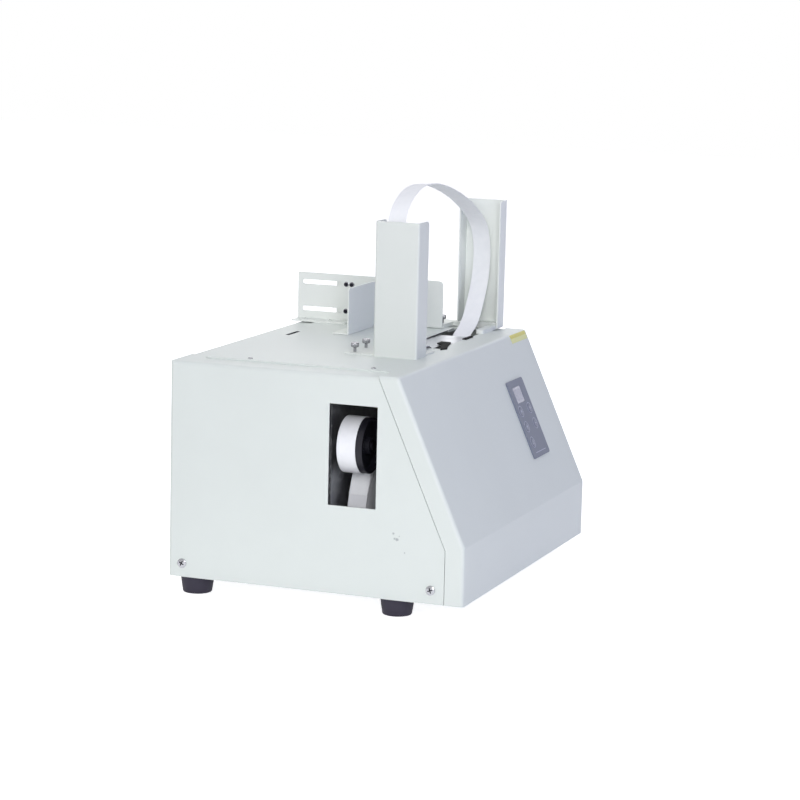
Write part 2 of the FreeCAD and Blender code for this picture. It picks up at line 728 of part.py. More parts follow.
def right_post():
    """Channel open to the left. Its web and inner foot stand on the base, its front flange hangs in front."""
    body = new_body("right_post")
    web, opening = right_side, right_side - dims.right_flange
    base_top = up(table_top + dims.base_high)
    post_top = up(table_top + dims.right_post_high)
    pad(body, "XY", base_top, post_top,
        channel_outline(web, opening, post_front, post_rear, dims.sheet))
    round_off(body, dims.post_bend, bend_edges(web, post_front, post_rear))
    round_off(body, dims.post_corner, flange_top_edges(opening, post_top))
    pocket(body, "XY", base_top - 1, base_top + dims.post_slit,
           rectangle(opening - 1, web - dims.post_bend, post_rear - dims.sheet - 0.5, post_rear + 0.5))
    pad(body, "XY", up(table_top) + dims.post_slit, base_top + dims.post_slit,
        rectangle(opening, web - dims.post_bend, post_front, post_front + dims.sheet))
    pad(body, "XY", base_top, base_top + dims.sheet,
        rectangle(right_side - dims.base_side_wide, right_side - dims.sheet / 2,
                  post_front + dims.post_bend * 2, post_rear - dims.post_bend * 2))
    return node("right_post", body)


def right_post_base():
    """Low plate round the place where the tape comes up, with an arm in front and one behind."""
    body = new_body("right_post_base")
    low, high = up(table_top), up(table_top + dims.base_high)
    inner_x = right_side - dims.base_side_wide
    arm_left = right_side - dims.base_arm_long
    arm_front = post_front + dims.sheet + dims.fit_gap
    arm_end = post_front + dims.base_arm_front
    rear_left = right_side - dims.base_rear_long
    pad(body, "XY", low, high, [
        (arm_left, arm_front),
        (right_side, arm_front),
        (right_side, back(dims.base_back)),
        (rear_left, back(dims.base_back)),
        (rear_left, back(dims.base_rear_back)),
        (inner_x, back(dims.base_rear_back)),
        (inner_x, arm_end),
        (arm_left, arm_end),
    ])

    def free_end(edge):
        at = middle(edge)
        upright = edge.BoundBox.ZLength > 1
        front_arm = near(at.x, arm_left)
        rear_arm = near(at.y, back(dims.base_back))
        return upright and (front_arm or rear_arm)

    round_off(body, dims.base_corner, free_end)
    hole = dims.hand_screw_stem + dims.running_gap
    pocket(body, "XY", low - 1, high + 1, circles=[(x, y, hole) for x, y in right_screw_places()])
    return node("right_post_base", body)


def hand_screws():
    """Domed knobs on thin stems. The left pair holds the left post, the right pair the base."""
    names = ("left_hand_screw_inner", "left_hand_screw_outer",
             "right_hand_screw_front", "right_hand_screw_rear")
    seats = [up(table_top + dims.sheet)] * 2 + [up(table_top + dims.base_high)] * 2
    knob_low = dims.hand_screw_neck
    knob_high = dims.hand_screw_neck + dims.hand_screw_knob
    for label, (x, y), seat in zip(names, left_screw_places() + right_screw_places(), seats):
        body = turned(label, [
            (size_of(0), -dims.hand_screw_shank),
            (dims.hand_screw_stem, -dims.hand_screw_shank),
            (dims.hand_screw_stem, size_of(0.1)),
            (dims.hand_screw_stem * 1.6, size_of(0.1)),
            (dims.hand_screw_stem * 1.6, size_of(0.9)),
            (dims.hand_screw_stem, size_of(0.9)),
            (dims.hand_screw_stem, knob_low),
            (dims.hand_screw_round * 0.8, knob_low),
            (dims.hand_screw_round, knob_low + dims.hand_screw_knob * 0.25),
            (dims.hand_screw_round, knob_low + dims.hand_screw_knob * 0.6),
            (dims.hand_screw_round * 0.6, knob_high - 0.6),
            (size_of(0), knob_high),
        ])
        place(body, x, y, seat)
        node(label, body)


# ---------------------------------------------------------------- side guide and stop

def side_guide():
    """Upright slotted plate that the stop is clamped to, with a foot bent out to the left."""
    body = new_body("side_guide")
    low_x, high_x = guide_face, guide_face + dims.sheet
    low_z, high_z = up(table_top + dims.guide_lift), up(table_top + dims.guide_top)
    front, rear = back(dims.guide_front), machine_rear
    pad(body, "YZ", low_x, high_x, rectangle(front, rear, low_z, high_z))

    def top_front(edge):
        at = middle(edge)
        return near(at.y, front) and near(at.z, high_z)

    round_off(body, dims.guide_corner, top_front)
    pad(body, "XY", up(table_top), up(table_top + dims.sheet),
        rectangle(low_x - dims.guide_foot, high_x, rear - dims.guide_foot_long, rear - dims.sheet))
    half = dims.guide_slot_high / 2
    slot_end = rear - dims.guide_slot_end - half
    slot_start = slot_end - dims.guide_slot_long + half * 2
    for height in (dims.guide_slot_low, dims.guide_slot_top):
        level = up(table_top + height)
        pocket(body, "YZ", low_x - 1, high_x + 1, rectangle(slot_start, slot_end, level - half, level + half))
        pocket(body, "YZ", low_x - 1, high_x + 1,
               circles=[(slot_start, level, half), (slot_end, level, half)])
    pocket(body, "XY", up(table_top) - 1, up(table_top + dims.sheet) + 1,
           circles=[(x, y, dims.screw_hole_round) for x, y in guide_screw_places()])
    return node("side_guide", body)


def guide_screw_places():
    x = guide_face - dims.guide_foot / 2
    last = machine_rear - dims.guide_screw_end
    return [(x, last - dims.guide_screw_pitch), (x, last)]


def guide_screws():
    screws = [pan_screw(f"guide_screw_{number}", dims.small_head_round, dims.small_head_high,
                        x, y, up(table_top + dims.sheet), Vector(0, 0, 1), 0, dims.screw_long)
              for number, (x, y) in enumerate(guide_screw_places(), start=1)]
    return node("guide_screws", grouped("guide_screws", *screws))


def stop_bolt_places():
    first = stop_face + dims.stop_bolt_back
    rows = (first, first + dims.stop_bolt_pitch)
    heights = (dims.guide_slot_low, dims.guide_slot_top)
    return [(row, up(table_top + height)) for height in heights for row in rows]


def stop_plate():
    """Stop across the table: upright face, foot bent back, and a wing along the guide for the bolts."""
    body = new_body("stop_plate")
    left, right = on_table(dims.stop_across), guide_face - dims.fit_gap
    front = stop_face
    low_z, high_z = up(table_top + dims.stop_lift), up(table_top + dims.stop_high)
    pad(body, "XZ", front, front + dims.sheet, rectangle(left, right, low_z, high_z))

    def top_left(edge):
        at = middle(edge)
        return near(at.x, left) and near(at.z, high_z)

    round_off(body, dims.stop_corner, top_left)
    foot_end = guide_face - dims.guide_foot - dims.stop_lift
    foot_low = up(table_top) + dims.fit_gap
    pad(body, "XY", foot_low, foot_low + dims.sheet,
        rectangle(left, foot_end, front, front + dims.stop_foot))
    pad(body, "XZ", front, front + dims.sheet,
        rectangle(left, foot_end, foot_low, low_z + 1))
    wing_low = low_z + 1
    pad(body, "YZ", right - dims.sheet, right,
        rectangle(front, front + dims.stop_wing, wing_low, high_z))

    def wing_corner(edge):
        at = middle(edge)
        return near(at.y, front + dims.stop_wing) and edge.BoundBox.XLength > 1 and at.z > wing_low.value + 5

    round_off(body, dims.stop_corner, wing_corner)
    pocket(body, "YZ", right - dims.sheet - 1, right + 1,
           circles=[(row, level, dims.bolt_round) for row, level in stop_bolt_places()])
    return node("stop_plate", body)


def stop_clamp_plate():
    body = new_body("stop_clamp_plate")
    low_x = guide_face + dims.sheet + dims.fit_gap
    middle_y = stop_face + dims.stop_bolt_back + dims.stop_bolt_pitch / 2
    low_z = up(table_top + dims.backing_up)
    pad(body, "YZ", low_x, low_x + dims.sheet,
        rectangle(middle_y - dims.backing_long / 2, middle_y + dims.backing_long / 2,
                  low_z, low_z + dims.backing_high))
    round_off(body, dims.stop_corner / 2, lambda edge: edge.BoundBox.XLength > 1)
    pocket(body, "YZ", low_x - 1, low_x + dims.sheet + 1,
           circles=[(row, level, dims.bolt_round) for row, level in stop_bolt_places()])
    return node("stop_clamp_plate", body)


def stop_bolts():
    """Two bolts side by side in each slot, each one piece with its washer and nut."""
    head_x = guide_face - dims.fit_gap - dims.sheet
    stack = dims.sheet * 3 + dims.fit_gap * 2
    nut = dims.bolt_head_high
    bolts = []
    for number, (row, level) in enumerate(stop_bolt_places(), start=1):
        body = turned(f"stop_bolt_{number}", [
            (size_of(0), -(dims.washer_thick + dims.bolt_head_high)),
            (dims.bolt_head_round, -(dims.washer_thick + dims.bolt_head_high)),
            (dims.bolt_head_round, -dims.washer_thick),
            (dims.washer_round, -dims.washer_thick),
            (dims.washer_round, size_of(0)),
            (dims.bolt_round, size_of(0)),
            (dims.bolt_round, stack),
            (dims.bolt_head_round, stack),
            (dims.bolt_head_round, stack + nut),
            (dims.bolt_round, stack + nut),
            (dims.bolt_round, stack + nut + 1),
            (size_of(0), stack + nut + 1),
        ])
        bolts.append(place(body, head_x, row, level, Vector(0, 1, 0), 90))
    return node("stop_bolts", grouped("stop_bolts", *bolts))


# ---------------------------------------------------------------- paper tape

feed_x = right_side - dims.feed_inset
nip_x = feed_x + dims.feed_round + dims.nip_gap / 2
pinch_x = feed_x + dims.feed_round + dims.nip_gap + dims.pinch_round
feed_z = up(dims.feed_up)
exit_lean = math.radians(SIZES["arch_exit_lean"])
exit_run = dims.arch_exit_long - dims.chute_bend * (1 - math.cos(exit_lean))
exit_rise = exit_run / math.tan(exit_lean) + dims.chute_bend * math.sin(exit_lean)
chute_top = up(table_top) - dims.arch_exit_drop - exit_rise
drum_reach = dims.drum_round + dims.nip_gap / 2
roll_reach = dims.roll_round + dims.nip_gap / 2
feed_reach = dims.feed_round + dims.nip_gap / 2


def tape_strip(name, edges):
    """Paper tape of even thickness along a wire in the XZ plane."""
    half = dims.tape_thick.value / 2
    solids = []
    for edge in edges:
        first, last = edge.ParameterRange
        steps = 2 if isinstance(edge.Curve, Part.Line) else max(4, int(edge.Length / 12) + 2)
        sides = ([], [])
        for step in range(steps):
            at = first + (last - first) * step / (steps - 1)
            point, along = edge.valueAt(at), edge.tangentAt(at)
            across_tape = Vector(-along.z, 0, along.x) * half
            sides[0].append(point + across_tape)
            sides[1].append(point - across_tape)
        lines = []
        for points in sides:
            if steps == 2:
                lines.append(Part.makeLine(points[0], points[1]))
            else:
                curve = Part.BSplineCurve()
                curve.interpolate(points)
                lines.append(curve.toShape())
        ends = [Part.makeLine(sides[0][0], sides[1][0]), Part.makeLine(sides[0][-1], sides[1][-1])]
        face = Part.Face(Part.Wire(Part.sortEdges(lines + ends)[0]))
        solids.append(face.extrude(Vector(0, dims.tape_wide.value, 0)))
    strip = solids[0].multiFuse(solids[1:]) if len(solids) > 1 else solids[0]
    feature = doc.addObject("Part::Feature", name)
    feature.Shape = strip.removeSplitter()
    return place(feature, 0, tape_front, 0)


def tape_loop():
    """The arch: up the chute, out to the right, over between the posts, down the left channel."""
    table_z = up(table_top)
    channel_x = on_table(dims.sheet + dims.nip_gap)
    bend = dims.chute_bend.value
    start = Vector(nip_x.value, 0, feed_z.value)
    bend_start = Vector(nip_x.value, 0, chute_top.value)
    bend_middle = bend_start + Vector(bend * (1 - math.cos(exit_lean / 2)), 0, bend * math.sin(exit_lean / 2))
    bend_end = bend_start + Vector(bend * (1 - math.cos(exit_lean)), 0, bend * math.sin(exit_lean))
    leaning = Vector(math.sin(exit_lean), 0, math.cos(exit_lean))
    exit_point = bend_end + leaning * (exit_run.value / leaning.x)
    entry_point = Vector(channel_x.value, 0, (table_z + dims.arch_end_up).value)
    between = [
        (right_side - dims.arch_foot_inset, dims.arch_foot_up),
        (right_side - dims.arch_sweep_inset, dims.arch_sweep_up),
        (right_side - dims.arch_rise_inset, dims.arch_rise_up),
        (right_side - dims.arch_bulge_inset, dims.arch_bulge_up),
        (right_side - dims.arch_turn_inset, dims.arch_turn_up),
        (right_side - dims.arch_shoulder_inset, dims.arch_shoulder_up),
        (on_table(dims.arch_slope_across), dims.arch_slope_up),
        (on_table(dims.arch_top_across), dims.arch_top),
        (on_table(dims.arch_fall_across), dims.arch_fall_up),
        (on_table(dims.arch_entry_across), dims.arch_entry_up),
    ]
    points = [exit_point]
    points += [Vector(x.value, 0, (table_z + rise).value) for x, rise in between]
    points.append(entry_point)
    ends = [leaning] + [Vector()] * len(between) + [Vector(0, 0, -1)]
    along = [0.0]
    for before, after in zip(points, points[1:]):
        along.append(along[-1] + (after - before).Length)
    arch = Part.BSplineCurve()
    arch.interpolate(points, Parameters=along, Tangents=ends, Scale=False,
                     TangentFlags=[True] + [False] * len(between) + [True])
    low_z = (table_z + dims.tape_low).value
    turn = dims.tape_turn.value
    inside = turn * (1 - math.sqrt(0.5))
    arc_start = entry_point - Vector(0, 0, entry_point.z - low_z - turn)
    arc_middle = Vector(entry_point.x + inside, 0, low_z + inside)
    arc_end = Vector(entry_point.x + turn, 0, low_z)
    dip_start, dip_deep = dims.tape_dip_start.value, dims.tape_dip_deep.value
    flat_end = Vector(on_table(dims.head_open_left).value - dip_start, 0, low_z)
    tape_end = Vector(on_table(dims.tape_end_across).value, 0, table_z.value - dip_deep)
    halfway = (flat_end + tape_end) * 0.5 + Vector(dip_start / 6, 0, dip_deep / 5)
    dip = Part.BSplineCurve()
    dip.interpolate([flat_end, halfway, tape_end],
                    Tangents=[Vector(dip_start * 2, 0, 0), Vector(), Vector(dip_start * 2, 0, -dip_start)],
                    TangentFlags=[True, False, True])
    return node("tape_loop", tape_strip("tape_loop", [
        Part.makeLine(start, bend_start),
        Part.Arc(bend_start, bend_middle, bend_end).toShape(),
        Part.makeLine(bend_end, exit_point),
        arch.toShape(),
        Part.makeLine(entry_point, arc_start),
        Part.Arc(arc_start, arc_middle, arc_end).toShape(),
        Part.makeLine(arc_end, flat_end),
        dip.toShape(),
    ]))


def crossing_tangent(centre_a, radius_a, centre_b, radius_b, side):
    """Where a line that crosses between two circles touches each of them."""
    between = centre_b - centre_a
    lean = math.atan2(between.z, between.x) - side * math.asin((radius_a + radius_b) / between.Length)
    square = Vector(-math.sin(lean), 0, math.cos(lean)) * side
    return centre_a + square * radius_a, centre_b - square * radius_b


def round_arc(centre, radius, start, end, through_angle):
    """Arc about a centre from start to end that passes through an angle in degrees."""
    angle = math.radians(through_angle)
    through = centre + Vector(math.cos(angle), 0, math.sin(angle)) * radius
    return Part.Arc(start, through, end).toShape()


def supply_tape():
    """From the paper roll under and over the drum, below the sealing head, round the feed roller."""
    roll = Vector(across(dims.roll_across).value, 0, up(dims.roll_up).value)
    drum = Vector(across(dims.drum_across).value, 0, up(dims.drum_up).value)
    feed = Vector(feed_x.value, 0, feed_z.value)
    off_roll, onto_drum = crossing_tangent(roll, roll_reach.value, drum, drum_reach.value, 1)
    off_drum, onto_feed = crossing_tangent(drum, drum_reach.value, feed, feed_reach.value, 1)
    at_nip = feed + Vector(feed_reach.value, 0, 0)
    return node("supply_tape", tape_strip("supply_tape", [
        Part.makeLine(off_roll, onto_drum),
        round_arc(drum, drum_reach.value, onto_drum, off_drum, 180),
        Part.makeLine(off_drum, onto_feed),
        round_arc(feed, feed_reach.value, onto_feed, at_nip, -45),
    ]))


# ---------------------------------------------------------------- parts turned about an axis to the front

def turned_forward(name, profile, x, face_y, z):
    """A turned part whose own axis points to the front and starts at face_y."""
    return place(turned(name, profile), x, face_y, z, Vector(1, 0, 0), 90)


def ring_profile(inner, outer, low, high, edge=0.6):
    """Section of a plain ring with its outer edges broken."""
    return [
        (inner, low), (outer - edge, low), (outer, low + edge), (outer, high - edge),
        (outer - edge, high), (inner, high),
    ]


def shouldered_pin(name, radius, boss, seat, reach, x, face_y, z, tail):
    """Pin with a boss from its plate to the roller and a collar in front of the roller."""
    collar_low = reach + dims.fit_gap
    return turned_forward(name, [
        (size_of(0), -tail),
        (radius * 0.75, -tail),
        (radius * 0.75, size_of(0)),
        (boss, size_of(0)),
        (boss, seat - dims.fit_gap),
        (radius, seat - dims.fit_gap),
        (radius, collar_low),
        (radius * 1.6, collar_low),
        (radius * 1.6, collar_low + dims.collar_wide),
        (size_of(0), collar_low + dims.collar_wide),
    ], x, face_y, z)


plate_face = back(dims.plate_back)
drum_seat = plate_face - (tape_middle + dims.drum_wide / 2)
feed_seat = plate_face - (tape_middle + dims.feed_wide / 2)
roll_seat = plate_face - tape_rear


plate_floor = up(dims.sheet)


def footed_plate(label, outline, holes):
    """Upright plate across the machine that stands on the tray with a foot bent to the rear."""
    body = new_body(label)
    rear = plate_face + dims.plate_thick
    pad(body, "XZ", plate_face, rear, outline)
    low_x, high_x = outline[0][0], outline[1][0]
    pad(body, "XY", plate_floor, plate_floor + dims.plate_thick,
        rectangle(low_x, high_x, plate_face, plate_face + dims.plate_foot))
    top = max(corner[1].value for corner in outline)

    def top_corner(edge):
        at = middle(edge)
        return edge.BoundBox.YLength > 1 and near(at.z, top)

    round_off(body, dims.table_corner, top_corner)
    pocket(body, "XZ", plate_face - 1, rear + 1, circles=holes)
    return node(label, body)


def tape_supply():
    drum_x, drum_z = across(dims.drum_across), up(dims.drum_up)
    roll_x, roll_z = across(dims.roll_across), up(dims.roll_up)
    fit = dims.running_gap
    footed_plate("mechanism_plate",
                 rectangle(across(dims.plate_low_across), across(dims.plate_high_across),
                           plate_floor, up(dims.plate_high)),
                 [(drum_x, drum_z, dims.pin_round * 0.75), (roll_x, roll_z, dims.spindle_round * 0.75)])
    drum_pin = shouldered_pin("drum_pin", dims.pin_round, dims.collar_round, drum_seat,
                              drum_seat + dims.drum_wide, drum_x, plate_face, drum_z, dims.plate_thick + 2)
    pinch_pin = shouldered_pin("pinch_pin", dims.pin_round, dims.collar_round, feed_seat,
                               feed_seat + dims.feed_wide, pinch_x, plate_face, feed_z,
                               dims.plate_thick + 2)
    spindle = shouldered_pin("roll_spindle", dims.spindle_round, dims.collar_round * 1.5,
                             roll_seat, roll_seat + dims.tape_wide,
                             roll_x, plate_face, roll_z, dims.plate_thick + 2)
    node("roller_pins", grouped("roller_pins", drum_pin, pinch_pin, spindle))
    bore = dims.spindle_round + fit
    web = dims.core_round - dims.core_wall - fit
    hub = turned_forward("roll_hub", [
        (bore, roll_seat),
        (dims.hub_flange_round, roll_seat),
        (dims.hub_flange_round, roll_seat + dims.hub_flange_thick),
        (web, roll_seat + dims.hub_flange_thick),
        (web, roll_seat + dims.tape_wide),
        (web - dims.core_wall, roll_seat + dims.tape_wide),
        (web - dims.core_wall, roll_seat + dims.hub_flange_thick * 2),
        (bore + dims.core_wall, roll_seat + dims.hub_flange_thick * 2),
        (bore + dims.core_wall, roll_seat + dims.tape_wide),
        (bore, roll_seat + dims.tape_wide),
    ], roll_x, plate_face, roll_z)
    node("roll_hub", hub)
    paper_low = roll_seat + dims.hub_flange_thick + fit
    paper_high = roll_seat + dims.tape_wide
    node("roll_core", turned_forward("roll_core", rectangle(
        web + fit, dims.core_round, paper_low, paper_high), roll_x, plate_face, roll_z))
    node("tape_roll", turned_forward("tape_roll", rectangle(
        dims.core_round + fit / 2, dims.roll_round, paper_low, paper_high), roll_x, plate_face, roll_z))
    rim = dims.drum_round
    drum_end = drum_seat + dims.drum_wide
    recess = dims.drum_wide / 4
    wall = dims.core_wall
    node("guide_drum", turned_forward("guide_drum", [
        (dims.pin_round + fit, drum_seat),
        (dims.drum_hub_round, drum_seat),
        (dims.drum_hub_round, drum_seat + recess),
        (rim - wall, drum_seat + recess),
        (rim - wall, drum_seat),
        (rim, drum_seat),
        (rim, drum_end),
        (rim - wall, drum_end),
        (rim - wall, drum_end - recess),
        (dims.drum_hub_round, drum_end - recess),
        (dims.drum_hub_round, drum_end),
        (dims.pin_round + fit, drum_end),
    ], drum_x, plate_face, drum_z))


# ---------------------------------------------------------------- feed unit

def feed_unit():
    fit = dims.running_gap
    shaft = dims.feed_shaft
    half = dims.chute_gap / 2
    tab_x = nip_x - half - dims.chute_wall
    low_x, high_x = feed_x - dims.bracket_reach_left, feed_x + dims.bracket_reach_right
    shoulder = up(dims.bracket_shoulder)
    footed_plate("feed_bracket", [
        (low_x, plate_floor), (high_x, plate_floor), (high_x, chute_top), (tab_x, chute_top),
        (tab_x, shoulder), (low_x, shoulder),
    ], [(feed_x, feed_z, shaft + fit), (pinch_x, feed_z, dims.pin_round * 0.75)])
    behind = dims.plate_thick
    seat = feed_seat
    end = feed_seat + dims.feed_wide
    groove = dims.nip_gap
    node("feed_roller", turned_forward("feed_roller", [
        (size_of(0), -(behind + dims.shaft_depth)),
        (shaft, -(behind + dims.shaft_depth)),
        (shaft, seat),
        (dims.feed_round - groove, seat),
        (dims.feed_round, seat + groove),
        (dims.feed_round, end - groove),
        (dims.feed_round - groove, end),
        (shaft * 2, end),
        (shaft * 2, end + groove),
        (size_of(0), end + groove),
    ], feed_x, plate_face, feed_z))
    node("pinch_roller", turned_forward("pinch_roller", ring_profile(
        dims.pin_round + fit, dims.pinch_round, seat, end), pinch_x, plate_face, feed_z))
    motor_face = -behind
    bore = shaft + fit
    node("feed_motor", turned_forward("feed_motor", [
        (size_of(0), motor_face - dims.feed_motor_long),
        (dims.feed_motor_round * 0.5, motor_face - dims.feed_motor_long),
        (dims.feed_motor_round, motor_face - dims.feed_motor_long + 2),
        (dims.feed_motor_round, motor_face),
        (bore, motor_face),
        (bore, motor_face - dims.shaft_depth - 1),
        (size_of(0), motor_face - dims.shaft_depth - 1),
    ], feed_x, plate_face, feed_z))
    tape_chute()


def tape_chute():
    """Upright slit for the tape with a bent mouth that turns the tape to the right under the table."""
    half, wall = dims.chute_gap / 2, dims.chute_wall
    front, rear = tape_front - dims.core_wall, tape_rear + dims.core_wall
    low, high = up(dims.chute_low), chute_top
    centre_x = nip_x + dims.chute_bend

    def sector(name, radius, start, end):
        """Part of a round about the bend's centre, from straight left up to the exit's lean."""
        feature = cylinder(name, radius, end - start, centre_x, start, high, "Y")
        feature.setExpression("Angle", dims.arch_exit_lean.text)
        return place(feature, centre_x, start, high, Vector(0, 1, 1), 180)

    outer = box("chute_outer", (nip_x - half - wall, nip_x + half + wall), (front, plate_face), (low, high))
    mouth = cut("chute_mouth", sector("mouth_outer", dims.chute_bend + half + wall, front, plate_face),
                cylinder("mouth_inner", dims.chute_bend - half - wall, plate_face - front + 2,
                         centre_x, front - 1, high, "Y"))
    gap = box("chute_gap", (nip_x - half, nip_x + half), (front - 1, rear), (low - 1, high))
    bend_gap = cut("bend_gap",
                   cylinder("bend_gap_outer", dims.chute_bend + half, rear - front + 1,
                            centre_x, front - 1, high, "Y"),
                   cylinder("bend_gap_inner", dims.chute_bend - half, rear - front + 3,
                            centre_x, front - 2, high, "Y"),
                   box("bend_gap_below", (nip_x - dims.chute_bend, centre_x + dims.chute_bend * 2),
                       (front - 2, rear + 1), (high - dims.chute_bend * 2, high)))
    return node("tape_chute", cut("tape_chute", fused("chute_walls", outer, mouth), gap, bend_gap))


# ---------------------------------------------------------------- sealing head

cam_z = up(dims.cam_up)
press_front = tape_middle - dims.press_deep / 2
press_rear = tape_middle + dims.press_deep / 2
head_in = on_table(dims.head_left + dims.head_plate_thick)
head_out = on_table(dims.head_right)
gear_round = dims.gear_module * dims.gear_teeth / 2
pinion_round = dims.gear_module * dims.pinion_teeth / 2
anvil_high = up(dims.side_high) - dims.anvil_drop
anvil_low = anvil_high - dims.anvil_thick
motor_y = tape_middle + gear_round + pinion_round


def press_spans():
    """Left and right limits of the left clamp, the heater press and the right clamp."""
    spans = []
    start = head_in + dims.press_edge
    for wide in (dims.left_clamp_wide, dims.heater_wide, dims.right_clamp_wide):
        spans.append((start, start + wide))
        start = start + wide + dims.press_gap
    return spans


def head_plates():
    spans = {"left_head_plate": (on_table(dims.head_left), head_in),
             "right_head_plate": (head_out, head_out + dims.head_plate_thick)}
    for label, (low_x, high_x) in spans.items():
        body = new_body(label)
        front = back(dims.head_front)
        pad(body, "YZ", low_x, high_x,
            rectangle(front, front + dims.head_plate_deep, up(dims.head_plate_low), up(dims.side_high)))

        def low_corner(edge):
            at = middle(edge)
            return edge.BoundBox.XLength > 1 and near(at.z, up(dims.head_plate_low))

        round_off(body, dims.table_corner, low_corner)
        holes = [(tape_middle, cam_z, dims.bush_round)]
        if label.startswith("right"):
            holes.append((motor_y, cam_z, dims.motor_shaft + dims.fit_gap * 2))
            swept = (back(dims.anvil_front - dims.anvil_side_gap),
                     back(dims.anvil_reach_back + dims.anvil_travel + dims.anvil_side_gap))
            pocket(body, "YZ", low_x - 1, high_x + 1,
                   rectangle(swept[0], swept[1], anvil_low - dims.fit_gap, up(dims.side_high) + 1))
        pocket(body, "YZ", low_x - 1, high_x + 1, circles=holes)
        node(label, body)


def press_guide_block():
    """Block between the end plates with an upright way for each press."""
    body = new_body("press_guide_block")
    rim = dims.guide_block_rim
    low, high = up(dims.guide_block_low), up(dims.guide_block_high)
    pad(body, "XY", low, high, rectangle(head_in, head_out, press_front - rim, press_rear + rim))
    gap = dims.press_slide_gap
    for left, right in press_spans():
        pocket(body, "XY", low - 1, high + 1,
               rectangle(left - gap, right + gap, press_front - gap, press_rear + gap))
    return node("press_guide_block", body)


def presses():
    """Three press bars. Each stands above its cam and slides up in the guide block."""
    low = cam_z + dims.cam_low_round + dims.cam_clear
    top = low + dims.guide_block_high - dims.guide_block_low + dims.press_below * 2
    lips = {"left_clamp": 1, "heater_press": 3, "right_clamp": 2}
    for (label, lip), (left, right) in zip(lips.items(), press_spans()):
        body = new_body(label)
        step = dims.sheet * lip / 2
        pad(body, "XZ", press_front, press_rear, [
            (left, low), (right, low), (right, top - step), (right - step, top), (left + step, top),
            (left, top - step),
        ])
        if label == "right_clamp":
            blade_x = left + dims.press_gap
            pocket(body, "XZ", press_front - 1, press_rear + 1,
                   rectangle(blade_x, blade_x + dims.sheet, top - dims.press_gap, top + 1))
            pad(body, "XZ", press_front + 1, press_rear - 1,
                rectangle(blade_x, blade_x + dims.sheet / 2, top - dims.press_gap - 1, top + 1))
        if label == "heater_press":
            for side in (press_front, press_rear - dims.sheet * 2):
                pocket(body, "XY", top - dims.sheet, top + 1,
                       rectangle(left - 1, right + 1, side - 1, side + dims.sheet * 2 + 1))
        node(label, body)


def cam_support(turn):
    """Distance from the cam's axis to its flat follower after it has turned by an angle in radians."""
    quarter = math.pi / 2
    rise = dims.cam_lift.value / quarter
    low = dims.cam_low_round.value
    ease = math.pi / 6
    crest = low + dims.cam_lift.value + rise * ease / 2
    fall_start, fall_end = quarter + ease * 2, 2 * math.pi - quarter
    if turn < quarter:
        return low + rise * turn, rise
    if turn < quarter + ease:
        past = turn - quarter
        return low + dims.cam_lift.value + rise * past * (1 - past / ease / 2), rise * (1 - past / ease)
    if turn < fall_start:
        return crest, 0.0
    if turn < fall_end:
        share = math.pi / (fall_end - fall_start)
        swing = (turn - fall_start) * share
        half = (crest - low) / 2
        return low + half * (1 + math.cos(swing)), -half * share * math.sin(swing)
    return low, 0.0


def cam_blank(number, middle_x):
    """Cam whose flat follower rises evenly over a quarter turn. At rest its lobe points to the front."""
    points = []
    count = 60
    for step in range(count):
        turn = 2 * math.pi * step / count
        distance, rate = cam_support(turn)
        sin, cos = math.sin(turn), math.cos(turn)
        points.append(Vector(0, -distance * sin - rate * cos, distance * cos - rate * sin))
    wire = Part.makePolygon(points + [points[0]])
    feature = doc.addObject("Part::Feature", f"cam_blank_{number}")
    feature.Shape = Part.Face(wire).extrude(Vector(dims.cam_wide.value, 0, 0))
    return place(feature, middle_x - dims.cam_wide / 2, tape_middle, cam_z)


def gear_blank(name, teeth, bore, low_x, y, z, turn):
    """Spur gear with involute flanks about an axis along X. A tooth's middle is at the angle turn from +Y."""
    module = dims.gear_module.value
    pressure = math.radians(20)
    pitch = module * teeth / 2
    base, root, tip = pitch * math.cos(pressure), pitch - 1.25 * module, pitch + 0.9 * module
    half_tooth = math.pi / teeth / 2 - dims.tooth_play.value / 4 / pitch

    def half_angle(radius):
        lean = math.acos(min(1, base / radius))
        return half_tooth + (math.tan(pressure) - pressure) - (math.tan(lean) - lean)

    flank = [max(base, root) + (tip - max(base, root)) * share for share in (0, 0.35, 0.7, 1)]
    sides = [(root, half_angle(flank[0]))] + [(radius, half_angle(radius)) for radius in flank]
    points = []
    for tooth in range(teeth):
        middle_angle = math.radians(turn) + 2 * math.pi * tooth / teeth
        for radius, spread in sides:
            angle = middle_angle - spread
            points.append(Vector(0, radius * math.cos(angle), radius * math.sin(angle)))
        for radius, spread in reversed(sides):
            angle = middle_angle + spread
            points.append(Vector(0, radius * math.cos(angle), radius * math.sin(angle)))
    wide = dims.gear_wide.value
    shape = Part.Face(Part.makePolygon(points + [points[0]])).extrude(Vector(wide, 0, 0))
    if bore is not None:
        shape = shape.cut(Part.makeCylinder(bore.value, wide + 2, Vector(-1, 0, 0), Vector(1, 0, 0)))
    feature = doc.addObject("Part::Feature", name)
    feature.Shape = shape
    return place(feature, low_x, y, z)


